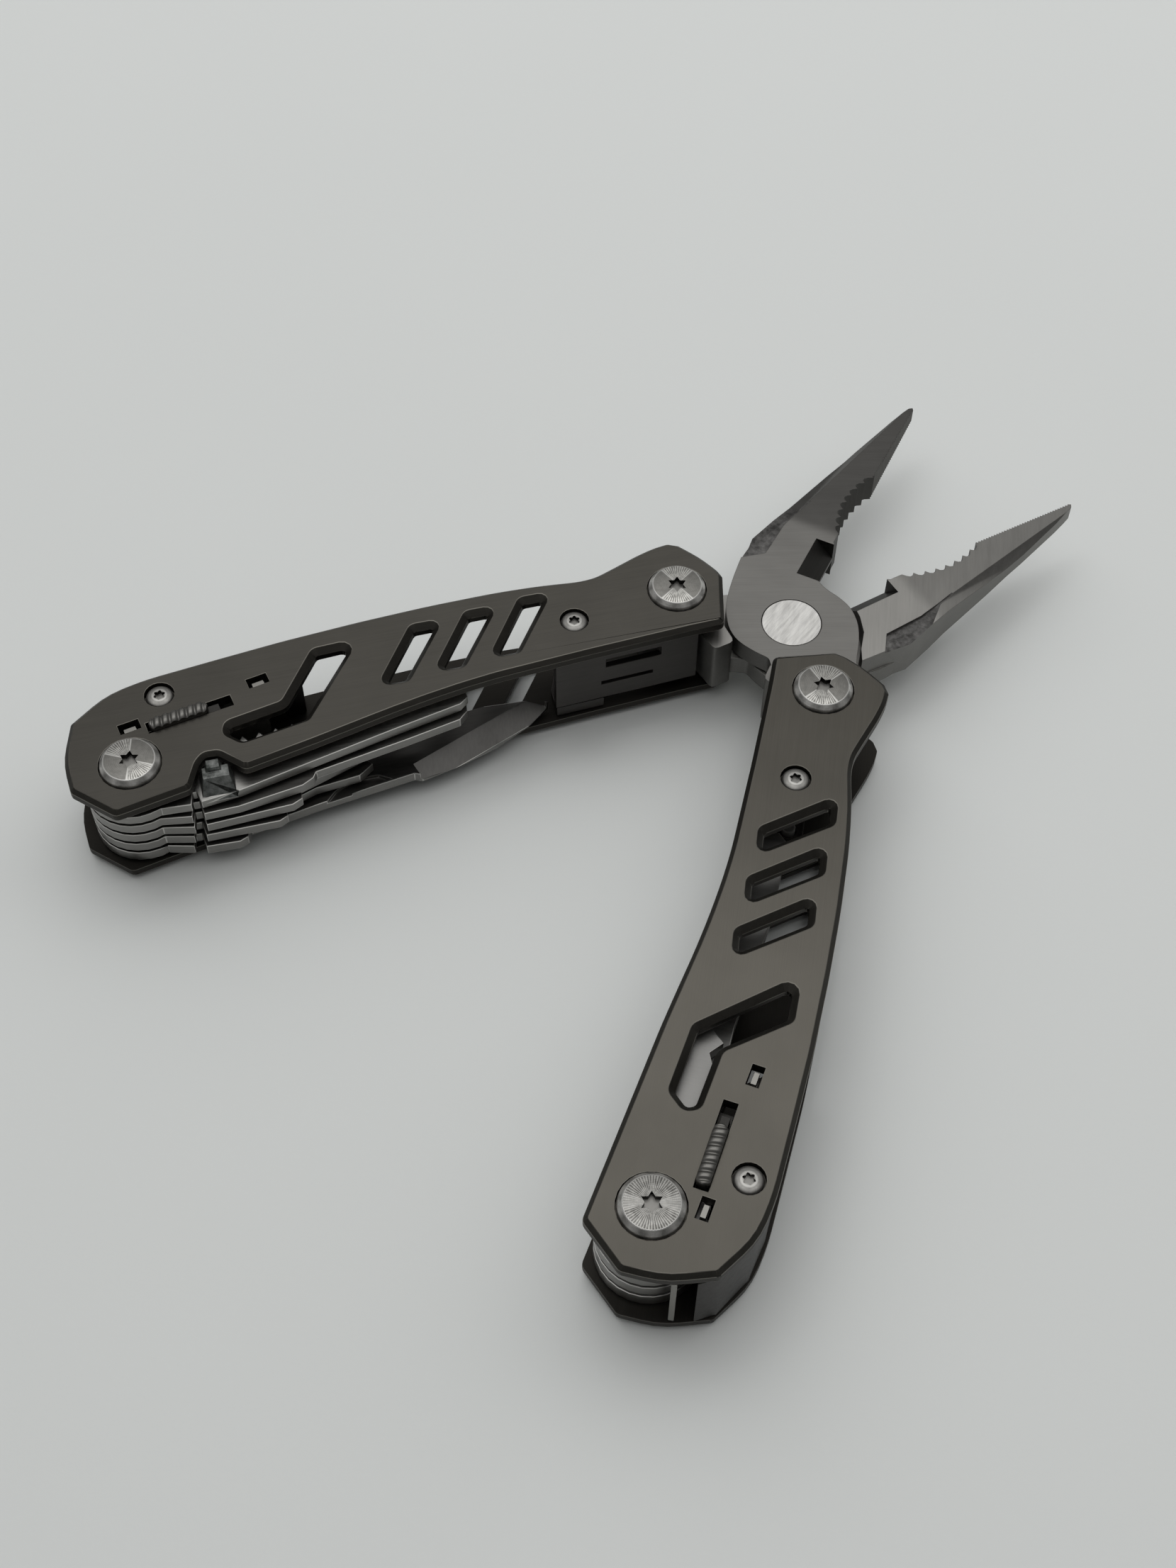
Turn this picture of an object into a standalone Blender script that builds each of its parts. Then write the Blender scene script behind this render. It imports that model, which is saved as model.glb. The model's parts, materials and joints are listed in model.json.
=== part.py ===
"""Multi tool with sprung needle-nose pliers: two folding handles, nine folding tools, two locks.

Every length in the constants is in millimetres; meshes are made in metres, with +Z up.
The tool lies flat, so that every pivot axis is vertical. Each handle has its own frame, with the
head-end small screw at (0, 0), +x towards the tail and +y towards the outer edge. Each jaw has its
own frame, with the main pivot at (0, 0), +x towards the tip and +y away from the other jaw.
"""

import math

import bmesh
import bpy
from mathutils import Matrix, Vector

MM = 0.001

# Heights above the table
SCREW_PROUD = 1.1
BOTTOM_OUT = 0.35
BOTTOM_IN = 2.35
TOP_IN = 15.85
TOP_OUT = 17.85
MID = 9.1
CHANNEL_LOW = 2.65
CHANNEL_HIGH = 15.55

# Where the pieces stand, and how far they are open
MAIN_PIVOT = (30.4, 30.55)
JAW_A_ANGLE = 46.5
JAW_B_ANGLE = 12.8
HANDLE_ANGLE = {"left": 175.98, "right": 243.73}
TANG_PIVOT = {"a": (-14.43, -10.87), "b": (-14.82, -11.86)}

# Points of a handle
HEAD_PIVOT = (-17.6, 2.6)
TAIL_PIVOT = (71.8, -12.2)
SMALL_SCREWS = ((0.0, 0.0), (66.0, 0.0))
PLATE_CHAMFER = 0.7
OUTLINE_INNER = [
    (-23.3, -5.7), (-17.0, -5.9), (-10.0, -6.4), (-2.0, -6.9), (7.0, -7.6), (14.3, -8.2),
    (20.0, -9.0), (26.0, -10.1), (32.0, -11.4), (38.0, -12.9), (45.0, -14.6),
]
OUTLINE_NOTCH = [(55.0, -16.8), (58.7, -13.3), (60.6, -13.2), (61.7, -14.3), (63.5, -18.6)]
OUTLINE_TAIL = [
    (75.0, -21.0), (81.1, -15.2), (81.7, -9.2), (79.9, -2.3), (74.2, 2.2), (68.3, 3.9),
]
OUTLINE_OUTER = [
    (57.0, 5.4), (46.0, 6.8), (34.0, 7.9), (22.0, 8.7), (11.0, 9.0), (4.0, 8.8), (-2.5, 8.2),
    (-5.4, 8.4), (-8.5, 9.6), (-13.5, 11.6), (-16.5, 12.5), (-18.7, 12.8), (-20.4, 12.0),
    (-23.2, 8.7), (-25.2, 5.3), (-25.6, 3.8),
]
SLOT = [(16.68, 5.92), (10.94, 5.95), (18.79, -5.52), (24.09, -5.39)]
SLOT_PITCH = (9.02, -0.8)
DOGLEG = [
    (41.65, 3.77), (33.64, 4.25), (44.12, -10.26), (54.88, -12.38), (57.7, -9.8), (56.9, -7.4),
    (47.78, -5.48),
]
CUTOUT_CHAMFER = 1.0
CUTOUT_ROUND = 1.7
CORNER_ROUND = 1.2
GENTLE_TURN = 24.0
LONG_ROUND = 200.0
WINDOWS = ((71.17, -5.22), (50.82, -0.74))
WINDOW_SIZE = (3.3, 1.85)
WINDOW_ANGLE = -12.0
LOCK_SLOT = (61.87, -4.87)
LOCK_SLOT_SIZE = (13.6, 2.1)
LOCK_ANGLE = -10.85
LOCK_LENGTH = 9.3
CROWN_WIDTH = 1.95
CROWN_TOP = 1.2
KNURLS = 7
KNURL_DEPTH = 0.5

# Fasteners
PIVOT_HEAD_R = 4.6
PIVOT_RECESS_R = 4.85
PIVOT_HEAD_H = 2.1
SLEEVE_HEAD_H = 1.35
PIVOT_RECESS_D = 1.2
SLEEVE_R = 2.7
SLEEVE_HOLE_R = 2.95
SLEEVE_BORE_R = 1.75
PIVOT_SHANK_R = 1.45
PIVOT_STAR = (1.5, 1.0, 0.9)
SMALL_HEAD_R = 2.1
SMALL_RECESS_R = 2.35
SMALL_RECESS_D = 1.3
SMALL_SHANK_R = 1.1
SMALL_HOLE_R = 1.35
SMALL_STAR = (0.9, 0.64, 0.6)

# The pliers head, in the frame of a jaw
HEAD_HALF = 3.75
TIP_HALF = 1.35
TAPER_START = 20.0
NOSE_TIP = 57.4
LAP = 0.15
BOSS_HALF = 6.45
BOSS_R = 6.0
FINE_TEETH = 36
COARSE_TEETH = 8
RIVET_SHANK_R = 3.0
RIVET_HEAD_R = 4.8
RIVET_HEAD_H = 1.1
SPRING_R = (3.45, 4.15)
NOSE_OUTER = [
    (57.5, 0.45), (57.1, 1.0), (52.8, 2.6), (43.2, 5.55), (34.6, 7.8), (24.0, 10.3),
    (18.2, 12.0), (14.4, 13.1), (9.9, 12.6),
]
NOSE_SHOULDER = [(5.4, 12.3), (6.6, 10.3), (9.0, 7.6), (10.3, 4.6), (10.75, 2.5), (10.65, 0.15)]
LAND = [(18.9, 0.15), (19.3, 0.45), (21.6, 0.45)]
GRIP_START = 21.6
GRIP_END = 37.2
GRIP_DEPTH = 1.9
TOOTH_CREST = 0.15
TOOTH_VALLEY = 0.42
POCKET = [
    (12.0, 9.7), (19.1, 9.4), (23.2, 8.5), (26.6, 7.6), (28.0, 12.0), (13.5, 16.0), (7.4, 15.5),
]
POCKET_DEPTH = 0.5
HUB = [
    (14.0, 3.0), (14.0, 12.6), (9.9, 13.1), (4.5, 12.4), (1.0, 11.75), (-2.2, 10.8),
    (-5.6, 8.7), (-7.3, 6.6), (-8.2, 3.4), (-8.5, 0.4), (-10.5, -1.1), (-13.9, -1.6),
    (-14.1, -6.0), (-19.0, -8.4), (-20.3, -12.0), (-18.0, -16.0), (-14.0, -17.2),
    (-8.8, -15.3), (-2.7, -12.3), (1.0, -11.4), (4.65, -9.8), (7.15, -7.55), (8.4, -5.0),
    (9.2, -2.0), (10.65, 0.15),
]
TANG_BLOCK = [
    (-10.6, -0.8), (-14.2, -1.0), (-14.5, -6.0), (-18.0, -10.0), (-13.0, -13.0),
    (-9.7, -8.0), (-10.3, -4.0),
]

# Folding tools: height range, and outline in the frame of a handle
TANG_R = 7.6
TOOL_HOLE_R = 2.95


def arc_corner(before, here, after, radius, most, steps):
    """Points of an arc that rounds one corner; it takes up at most this share of either edge."""
    back = Vector(before) - Vector(here)
    ahead = Vector(after) - Vector(here)
    half = back.angle(ahead) / 2
    reach = min(radius / math.tan(half), most * back.length, most * ahead.length)
    if reach < 1e-3:
        return [tuple(here)]
    middle = (back.normalized() + ahead.normalized()).normalized()
    centre = Vector(here) + middle * (reach / math.cos(half))
    first = Vector(here) + back.normalized() * reach - centre
    last = Vector(here) + ahead.normalized() * reach - centre
    start = math.atan2(first.y, first.x)
    sweep = (math.atan2(last.y, last.x) - start + math.pi) % (2 * math.pi) - math.pi
    out = []
    for step in range(steps + 1):
        angle = start + sweep * step / steps
        point = centre + Vector((math.cos(angle), math.sin(angle))) * first.length
        out.append(tuple(point))
    return out


def smooth_corners(points, radius, steps=2):
    """The closed outline with each corner replaced by an arc of the given radius."""
    out = []
    for i, here in enumerate(points):
        after = points[(i + 1) % len(points)]
        out += arc_corner(points[i - 1], here, after, radius, 0.45, steps)
    return out


def soft_outline(points):
    """The closed outline with gentle corners drawn out into curves and the others rounded."""
    out = []
    for i, here in enumerate(points):
        before = points[i - 1]
        after = points[(i + 1) % len(points)]
        back = Vector(before) - Vector(here)
        ahead = Vector(after) - Vector(here)
        turn = 180.0 - math.degrees(back.angle(ahead))
        radius = CORNER_ROUND if turn > GENTLE_TURN else LONG_ROUND
        out += arc_corner(before, here, after, radius, 0.45, 3)
    return out


def turned(points, centre, degrees):
    """Points given about the origin, turned and moved to a centre."""
    c = math.cos(math.radians(degrees))
    s = math.sin(math.radians(degrees))
    return [(centre[0] + x * c - y * s, centre[1] + x * s + y * c) for x, y in points]


def circle(centre, radius, count=24, start=0.0):
    """A regular outline round a centre."""
    return [
        (
            centre[0] + radius * math.cos(start + 2 * math.pi * i / count),
            centre[1] + radius * math.sin(start + 2 * math.pi * i / count),
        )
        for i in range(count)
    ]


def rectangle(centre, size, degrees=0.0):
    """A rectangle turned about its centre."""
    w, h = size[0] / 2, size[1] / 2
    return turned([(-w, -h), (w, -h), (w, h), (-w, h)], centre, degrees)


def star(centre, outer, inner):
    """The six-lobed outline of a driver recess."""
    out = []
    for i in range(6):
        for radius, turn in ((outer, -0.13), (outer, 0.13), (inner, 0.524)):
            angle = 2 * math.pi * i / 6 + turn
            out.append((centre[0] + radius * math.cos(angle),
                        centre[1] + radius * math.sin(angle)))
    return out


def placed(points, side, origin):
    """Points of a handle's frame, moved to an origin and mirrored for the left-hand side."""
    out = [(x - origin[0], side * (y - origin[1])) for x, y in points]
    return out[::-1] if side < 0 else out


def closed_mesh(name, bm):
    """The mesh of a closed shape, with its faces turned outwards."""
    bmesh.ops.recalc_face_normals(bm, faces=bm.faces[:])
    if bm.calc_volume(signed=True) < 0:
        bmesh.ops.reverse_faces(bm, faces=bm.faces[:])
    mesh = bpy.data.meshes.new(name)
    bm.to_mesh(mesh)
    bm.free()
    return mesh


class Model:
    """Makes named solids from outlines, each with its own material and parent."""

    def __init__(self):
        for obj in list(bpy.data.objects):
            bpy.data.objects.remove(obj, do_unlink=True)
        scene = bpy.context.scene
        self.parts = bpy.data.collections.new("parts")
        self.cutters = bpy.data.collections.new("cutters")
        scene.collection.children.link(self.parts)
        scene.collection.children.link(self.cutters)

    def axis(self, name, place, degrees):
        """An empty on a pivot axis, turned to the rest angle of the piece."""
        empty = bpy.data.objects.new(name, None)
        empty.empty_display_size = 0.01
        empty.matrix_world = Matrix.Translation((place[0] * MM, place[1] * MM, 0.0)) @ (
            Matrix.Rotation(math.radians(degrees), 4, "Z")
        )
        self.parts.objects.link(empty)
        return empty

    def solid(self, name, outline, steps, parent, cutter=False):
        """Extrudes an outline through (height, inset) steps; the insets make the chamfers."""
        bm = bmesh.new()
        low = steps[0][0] * MM
        face = bm.faces.new([bm.verts.new((x * MM, y * MM, low)) for x, y in outline])
        face.normal_update()
        inset = steps[0][1]
        for count, (new_height, new_inset) in enumerate(steps[1:]):
            grown = bmesh.ops.extrude_face_region(bm, geom=[face])
            if count:
                bmesh.ops.delete(bm, geom=[face], context="FACES_ONLY")
            face = [g for g in grown["geom"] if isinstance(g, bmesh.types.BMFace)][0]
            shift = self.inset_moves(face, (new_inset - inset) * MM)
            for vert, move in zip(face.verts, shift):
                vert.co.x += move[0]
                vert.co.y += move[1]
                vert.co.z = new_height * MM
            inset = new_inset
        return self.link(name, closed_mesh(name, bm), parent, cutter)

    def inset_moves(self, face, distance):
        """How far each corner of a face moves when its edges move inwards by a distance."""
        corners = [vert.co.to_2d() for vert in face.verts]
        area = sum(a.cross(b) for a, b in zip(corners, corners[1:] + corners[:1]))
        sign = 1 if area > 0 else -1
        moves = []
        for i, here in enumerate(corners):
            first = (here - corners[i - 1]).normalized()
            second = (corners[(i + 1) % len(corners)] - here).normalized()
            normal_a = Vector((-first.y, first.x)) * sign
            normal_b = Vector((-second.y, second.x)) * sign
            middle = normal_a + normal_b
            moves.append(middle * (2 * distance / middle.length_squared))
        return moves

    def link(self, name, mesh, parent, cutter):
        obj = bpy.data.objects.new(name, mesh)
        (self.cutters if cutter else self.parts).objects.link(obj)
        obj.parent = parent
        if cutter:
            obj.hide_render = True
            obj.display_type = "WIRE"
        else:
            material = bpy.data.materials.new(name + "_finish")
            material.use_nodes = True
            mesh.materials.append(material)
        return obj

    def change(self, target, other, operation="DIFFERENCE"):
        """Adds a Boolean to a solid."""
        modifier = target.modifiers.new(other.name[:40], "BOOLEAN")
        modifier.operation = operation
        modifier.solver = "EXACT"
        modifier.object = other
        return target

    def cut(self, target, name, outline, steps):
        """Cuts an extruded outline out of a solid."""
        return self.change(target, self.solid(name, outline, steps, target.parent, True))

    def join(self, target, name, outline, steps):
        """Adds an extruded outline to a solid."""
        other = self.solid(name, outline, steps, target.parent, True)
        return self.change(target, other, "UNION")

    def paint(self, obj, colour, roughness, metallic=1.0):
        shader = obj.data.materials[0].node_tree.nodes["Principled BSDF"]
        shader.inputs["Base Color"].default_value = (*colour, 1.0)
        shader.inputs["Roughness"].default_value = roughness
        shader.inputs["Metallic"].default_value = metallic
        obj.data.materials[0].diffuse_color = (*colour, 1.0)


GUNMETAL = (0.100, 0.090, 0.083)
DARK_STEEL = (0.055, 0.052, 0.050)
SATIN = (0.230, 0.225, 0.215)
BRIGHT = (0.520, 0.510, 0.490)
BLADE = (0.350, 0.345, 0.335)


def plate_outline(notched):
    notch = OUTLINE_NOTCH if notched else []
    return OUTLINE_INNER + notch + OUTLINE_TAIL + OUTLINE_OUTER


def flipped(steps, upward):
    """Steps as they are for the top plate, or mirrored about mid height for the bottom one."""
    if upward:
        return steps
    return [(2 * MID - height, inset) for height, inset in steps]


def scale_plate(model, label, level, side, parent):
    """One outer plate of a handle, chamfered outside, with its cut-outs and screw seats."""
    top = level == "top"
    origin = HEAD_PIVOT
    name = f"{label}_plate_{level}"
    outline = placed(soft_outline(plate_outline(top and side < 0)), side, origin)
    steps = [(TOP_IN, 0.0), (TOP_OUT - PLATE_CHAMFER, 0.0), (TOP_OUT, PLATE_CHAMFER)]
    plate = model.solid(name, outline, flipped(steps, top), parent)
    model.paint(plate, GUNMETAL, 0.38)

    above = TOP_OUT + 1.0
    below = TOP_IN - 1.0
    seat = TOP_OUT - CUTOUT_CHAMFER
    holes = [("dogleg", DOGLEG)]
    for i in (-1, 0, 1):
        slot = [(x + i * SLOT_PITCH[0], y + i * SLOT_PITCH[1]) for x, y in SLOT]
        holes.append((f"slot{i + 2}", slot))
    for tag, points in holes:
        edge = placed(smooth_corners(points, CUTOUT_ROUND, 4), side, origin)
        path = [(above, 0.0), (TOP_OUT, 0.0), (seat, CUTOUT_CHAMFER), (below, CUTOUT_CHAMFER)]
        model.cut(plate, f"{name}_{tag}", edge, flipped(path, top))
    if top:
        for i, centre in enumerate(WINDOWS):
            edge = placed(rectangle(centre, WINDOW_SIZE, WINDOW_ANGLE), side, origin)
            model.cut(plate, f"{name}_window{i + 1}", edge, [(below, 0.0), (above, 0.0)])
        edge = placed(rectangle(LOCK_SLOT, LOCK_SLOT_SIZE, LOCK_ANGLE), side, origin)
        model.cut(plate, f"{name}_lock_slot", edge, [(below, 0.0), (above, 0.0)])
    for i, centre in enumerate((HEAD_PIVOT, TAIL_PIVOT)):
        seat = TOP_OUT - PIVOT_RECESS_D
        hole = placed(circle(centre, SLEEVE_HOLE_R, 16), side, origin)
        model.cut(plate, f"{name}_bore{i + 1}", hole, flipped([(below, 0), (above, 0)], top))
        recess = placed(circle(centre, PIVOT_RECESS_R, 24), side, origin)
        model.cut(plate, f"{name}_seat{i + 1}", recess, flipped([(seat, 0), (above, 0)], top))
    for i, centre in enumerate(SMALL_SCREWS):
        seat = TOP_OUT - SMALL_RECESS_D
        hole = placed(circle(centre, SMALL_HOLE_R, 12), side, origin)
        model.cut(plate, f"{name}_thread{i + 1}", hole, flipped([(below, 0), (above, 0)], top))
        recess = placed(circle(centre, SMALL_RECESS_R, 20), side, origin)
        model.cut(plate, f"{name}_sink{i + 1}", recess, flipped([(seat, 0), (above, 0)], top))
    return plate


def pivot_fasteners(model, label, end, centre, side, parent):
    """A headed sleeve from below and a screw that threads into it from above."""
    origin = HEAD_PIVOT
    spot = placed([centre], side, origin)[0]
    head_low = TOP_OUT + SCREW_PROUD - PIVOT_HEAD_H
    top = TOP_OUT + SCREW_PROUD
    screw = model.solid(
        f"{label}_{end}_pivot_screw",
        circle(spot, PIVOT_HEAD_R, 24),
        [(head_low, 0.0), (top - 0.7, 0.0), (top, 0.7)],
        parent,
    )
    model.join(screw, screw.name + "_shank", circle(spot, PIVOT_SHANK_R, 10),
               [(MID - 1.0, 0.0), (head_low + 0.3, 0.0)])
    model.cut(screw, screw.name + "_star", star(spot, PIVOT_STAR[0], PIVOT_STAR[1]),
              [(top - PIVOT_STAR[2], 0.0), (top + 1.0, 0.0)])
    model.paint(screw, BRIGHT, 0.28)

    sleeve = model.solid(
        f"{label}_{end}_pivot_sleeve",
        circle(spot, PIVOT_HEAD_R, 24),
        [(SLEEVE_HEAD_H, 0.0), (0.7, 0.0), (0.0, 0.7)],
        parent,
    )
    model.join(sleeve, sleeve.name + "_barrel", circle(spot, SLEEVE_R, 16),
               [(SLEEVE_HEAD_H - 0.3, 0.0), (TOP_OUT - PIVOT_RECESS_D - 0.25, 0.0)])
    model.cut(sleeve, sleeve.name + "_bore", circle(spot, SLEEVE_BORE_R, 12),
              [(MID - 2.0, 0.0), (TOP_OUT, 0.0)])
    model.cut(sleeve, sleeve.name + "_star", star(spot, PIVOT_STAR[0], PIVOT_STAR[1]),
              [(-1.0, 0.0), (PIVOT_STAR[2], 0.0)])
    model.paint(sleeve, BRIGHT, 0.28)


def small_screw(model, label, spot_name, level, centre, side, parent):
    """A button-head screw, sunk in its counterbore."""
    top = level == "top"
    spot = placed([centre], side, HEAD_PIVOT)[0]
    seat = TOP_OUT - SMALL_RECESS_D + 0.1
    steps = [(seat, 0.0), (seat + 0.55, 0.0), (seat + 0.9, 0.3), (seat + 1.1, 0.8)]
    screw = model.solid(f"{label}_screw_{spot_name}_{level}", circle(spot, SMALL_HEAD_R, 16),
                        flipped(steps, top), parent)
    model.join(screw, screw.name + "_shank", circle(spot, SMALL_SHANK_R, 8),
               flipped([(seat + 0.2, 0.0), (seat - 3.2, 0.0)], top))
    model.cut(screw, screw.name + "_star", star(spot, SMALL_STAR[0], SMALL_STAR[1]),
              flipped([(seat + 1.1 - SMALL_STAR[2], 0.0), (TOP_OUT + 1.0, 0.0)], top))
    model.paint(screw, BRIGHT, 0.3)


def spine(model, label, side, parent):
    """The solid back of the tail half, which the tail screws thread into."""
    points = [
        (44.0, 3.4), (52.0, 1.5), (60.0, -0.9), (64.0, -2.2), (70.0, -3.6), (76.0, -4.6),
        (80.7, -4.9), (79.3, -2.0), (73.9, 1.8), (68.2, 3.4), (57.0, 4.9), (46.0, 6.3),
        (44.0, 6.5),
    ]
    back = model.solid(f"{label}_spine", placed(points, side, HEAD_PIVOT),
                       [(CHANNEL_LOW, 0.0), (CHANNEL_HIGH, 0.0)], parent)
    hole = placed(circle(SMALL_SCREWS[1], SMALL_HOLE_R, 12), side, HEAD_PIVOT)
    model.cut(back, back.name + "_hole", hole, [(0.0, 0.0), (TOP_OUT, 0.0)])
    model.paint(back, DARK_STEEL, 0.45)


def liner(model, label, side, parent):
    """The folded sheet wall at the head end, on the inner edge, with two screwed ears."""
    wall = [(-19.2, -5.4), (-12.0, -5.9), (4.6, -6.9), (4.7, -5.7), (-12.0, -4.7), (-19.2, -4.2)]
    name = f"{label}_liner"
    body = model.solid(name, placed(wall, side, HEAD_PIVOT),
                       [(4.85, 0.0), (CHANNEL_HIGH, 0.0)], parent)
    foot = [(-3.5, -6.35), (4.5, -6.8), (4.6, -5.75), (-3.5, -5.3)]
    model.join(body, name + "_foot", placed(foot, side, HEAD_PIVOT),
               [(CHANNEL_LOW, 0.0), (5.2, 0.0)])
    ear = [(-9.5, -5.9), (4.4, -6.6), (4.5, -2.4), (2.6, 2.4), (-2.6, 2.4), (-9.5, -2.2)]
    low_ear = [(-3.4, -5.9), (4.4, -6.5), (4.5, -2.4), (2.6, 2.4), (-2.6, 2.4), (-3.4, -2.2)]
    model.join(body, name + "_ear_top", placed(ear, side, HEAD_PIVOT),
               [(CHANNEL_HIGH - 1.1, 0.0), (CHANNEL_HIGH, 0.0)])
    model.join(body, name + "_ear_low", placed(low_ear, side, HEAD_PIVOT),
               [(CHANNEL_LOW, 0.0), (CHANNEL_LOW + 1.1, 0.0)])
    for low, high, first, last in ((12.4, 14.45, -13.0, -3.7), (8.2, 9.1, -11.7, -3.0)):
        slot = [(first, -8.0), (last, -8.0), (last, -3.5), (first, -3.5)]
        model.cut(body, f"{name}_slot_{int(low)}", placed(slot, side, HEAD_PIVOT),
                  [(low, 0.0), (high, 0.0)])
    hole = placed(circle(SMALL_SCREWS[0], SMALL_HOLE_R, 12), side, HEAD_PIVOT)
    model.cut(body, name + "_hole", hole, [(0.0, 0.0), (TOP_OUT, 0.0)])
    model.paint(body, DARK_STEEL, 0.5)


def guide_bar(model, label, side, parent):
    """The fixed bar under the top plate whose two tabs show in the small windows."""
    middle = [(a + b) / 2 for a, b in zip(*WINDOWS)]
    name = f"{label}_guide_bar"
    body = model.solid(name, placed(rectangle(middle, (22.6, 0.9), -12.4), side, HEAD_PIVOT),
                       [(14.75, 0.0), (CHANNEL_HIGH, 0.0)], parent)
    leg = placed(rectangle((54.6, -1.56), (9.0, 0.8), -12.4), side, HEAD_PIVOT)
    model.join(body, name + "_leg", leg, [(CHANNEL_LOW, 0.0), (15.0, 0.0)])
    for i, centre in enumerate(WINDOWS):
        tab = placed(rectangle(centre, (1.9, 0.8), -12.4), side, HEAD_PIVOT)
        model.join(body, f"{name}_tab{i + 1}", tab,
                   [(CHANNEL_HIGH - 0.4, 0.0), (TOP_OUT - 0.75, 0.0)])
    model.paint(body, BRIGHT, 0.35)


def lock_leaf(model, label, side, parent):
    """The upright leaf at the tail, which drops into the notch of an opened tool."""
    leaf = placed(rectangle((80.75, -7.9), (1.0, 0.8)), side, HEAD_PIVOT)
    body = model.solid(f"{label}_lock_leaf", leaf,
                       [(CHANNEL_LOW + 0.6, 0.0), (CHANNEL_HIGH, 0.0)], parent)
    model.paint(body, BRIGHT, 0.35)


def lock_slider(model, label, side, parent):
    """The thumb slider: a knurled bar above the plate on a strip that runs below it."""
    name = f"{label}_lock_slider"
    along = math.radians(LOCK_ANGLE)
    tail_end = (LOCK_SLOT[0] + 6.4 * math.cos(along), LOCK_SLOT[1] + 6.4 * math.sin(along))

    def at(distance):
        """A point this far from the tail end of the slider, towards the head."""
        return (tail_end[0] - distance * math.cos(along), tail_end[1] - distance * math.sin(along))

    middle = at(6.25)
    strip = rectangle((middle[0], middle[1] - 0.8), (12.5, 3.2), LOCK_ANGLE)
    body = model.solid(name, placed(strip, side, HEAD_PIVOT),
                       [(14.75, 0.0), (15.5, 0.0)], parent)
    stem = placed(rectangle(at(4.65), (LOCK_LENGTH - 0.4, 1.45), LOCK_ANGLE), side, HEAD_PIVOT)
    model.join(body, name + "_stem", stem, [(15.2, 0.0), (TOP_OUT + 0.2, 0.0)])
    step = placed(rectangle(at(9.8), (2.6, 1.25), LOCK_ANGLE), side, HEAD_PIVOT)
    model.join(body, name + "_step", step, [(15.2, 0.0), (TOP_OUT - 0.55, 0.0)])
    crown = smooth_corners(rectangle((0, 0), (LOCK_LENGTH, CROWN_WIDTH)), 0.9)
    crown = placed(turned(crown, at(4.65), LOCK_ANGLE), side, HEAD_PIVOT)
    model.join(body, name + "_crown", crown,
               [(TOP_OUT - 0.3, 0.0), (TOP_OUT + CROWN_TOP - 0.35, 0.0),
                (TOP_OUT + CROWN_TOP, 0.35)])
    for i in range(KNURLS):
        place = at(1.0 + (LOCK_LENGTH - 2.0) * i / (KNURLS - 1))
        groove = placed(rectangle(place, (0.45, 3.0), LOCK_ANGLE + 12), side, HEAD_PIVOT)
        model.cut(body, f"{name}_groove{i + 1}", groove,
                  [(TOP_OUT + CROWN_TOP - KNURL_DEPTH, 0.0), (TOP_OUT + 2.0, 0.0)])
    model.paint(body, BRIGHT, 0.45)


def half_nose():
    """The outline of a nose: cutter, land, pipe grip with coarse teeth, fine teeth to the tip."""
    line = list(LAND)
    length = GRIP_END - GRIP_START
    for i in range(COARSE_TEETH):
        for part, valley in ((0.25, 0.6), (0.5, 0.8), (0.75, 0.6), (1.0, 0.0)):
            t = (i + part) / COARSE_TEETH
            arch = GRIP_DEPTH * math.sin(math.pi * t) ** 0.8 if t < 1 else 0.0
            line.append((GRIP_START + length * t, TOOTH_CREST + arch + valley))
    pitch = (NOSE_TIP - 0.4 - GRIP_END) / FINE_TEETH
    for i in range(FINE_TEETH):
        line.append((GRIP_END + pitch * (i + 0.5), TOOTH_VALLEY))
        line.append((GRIP_END + pitch * (i + 1), TOOTH_CREST))
    return line + NOSE_OUTER + NOSE_SHOULDER


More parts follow.
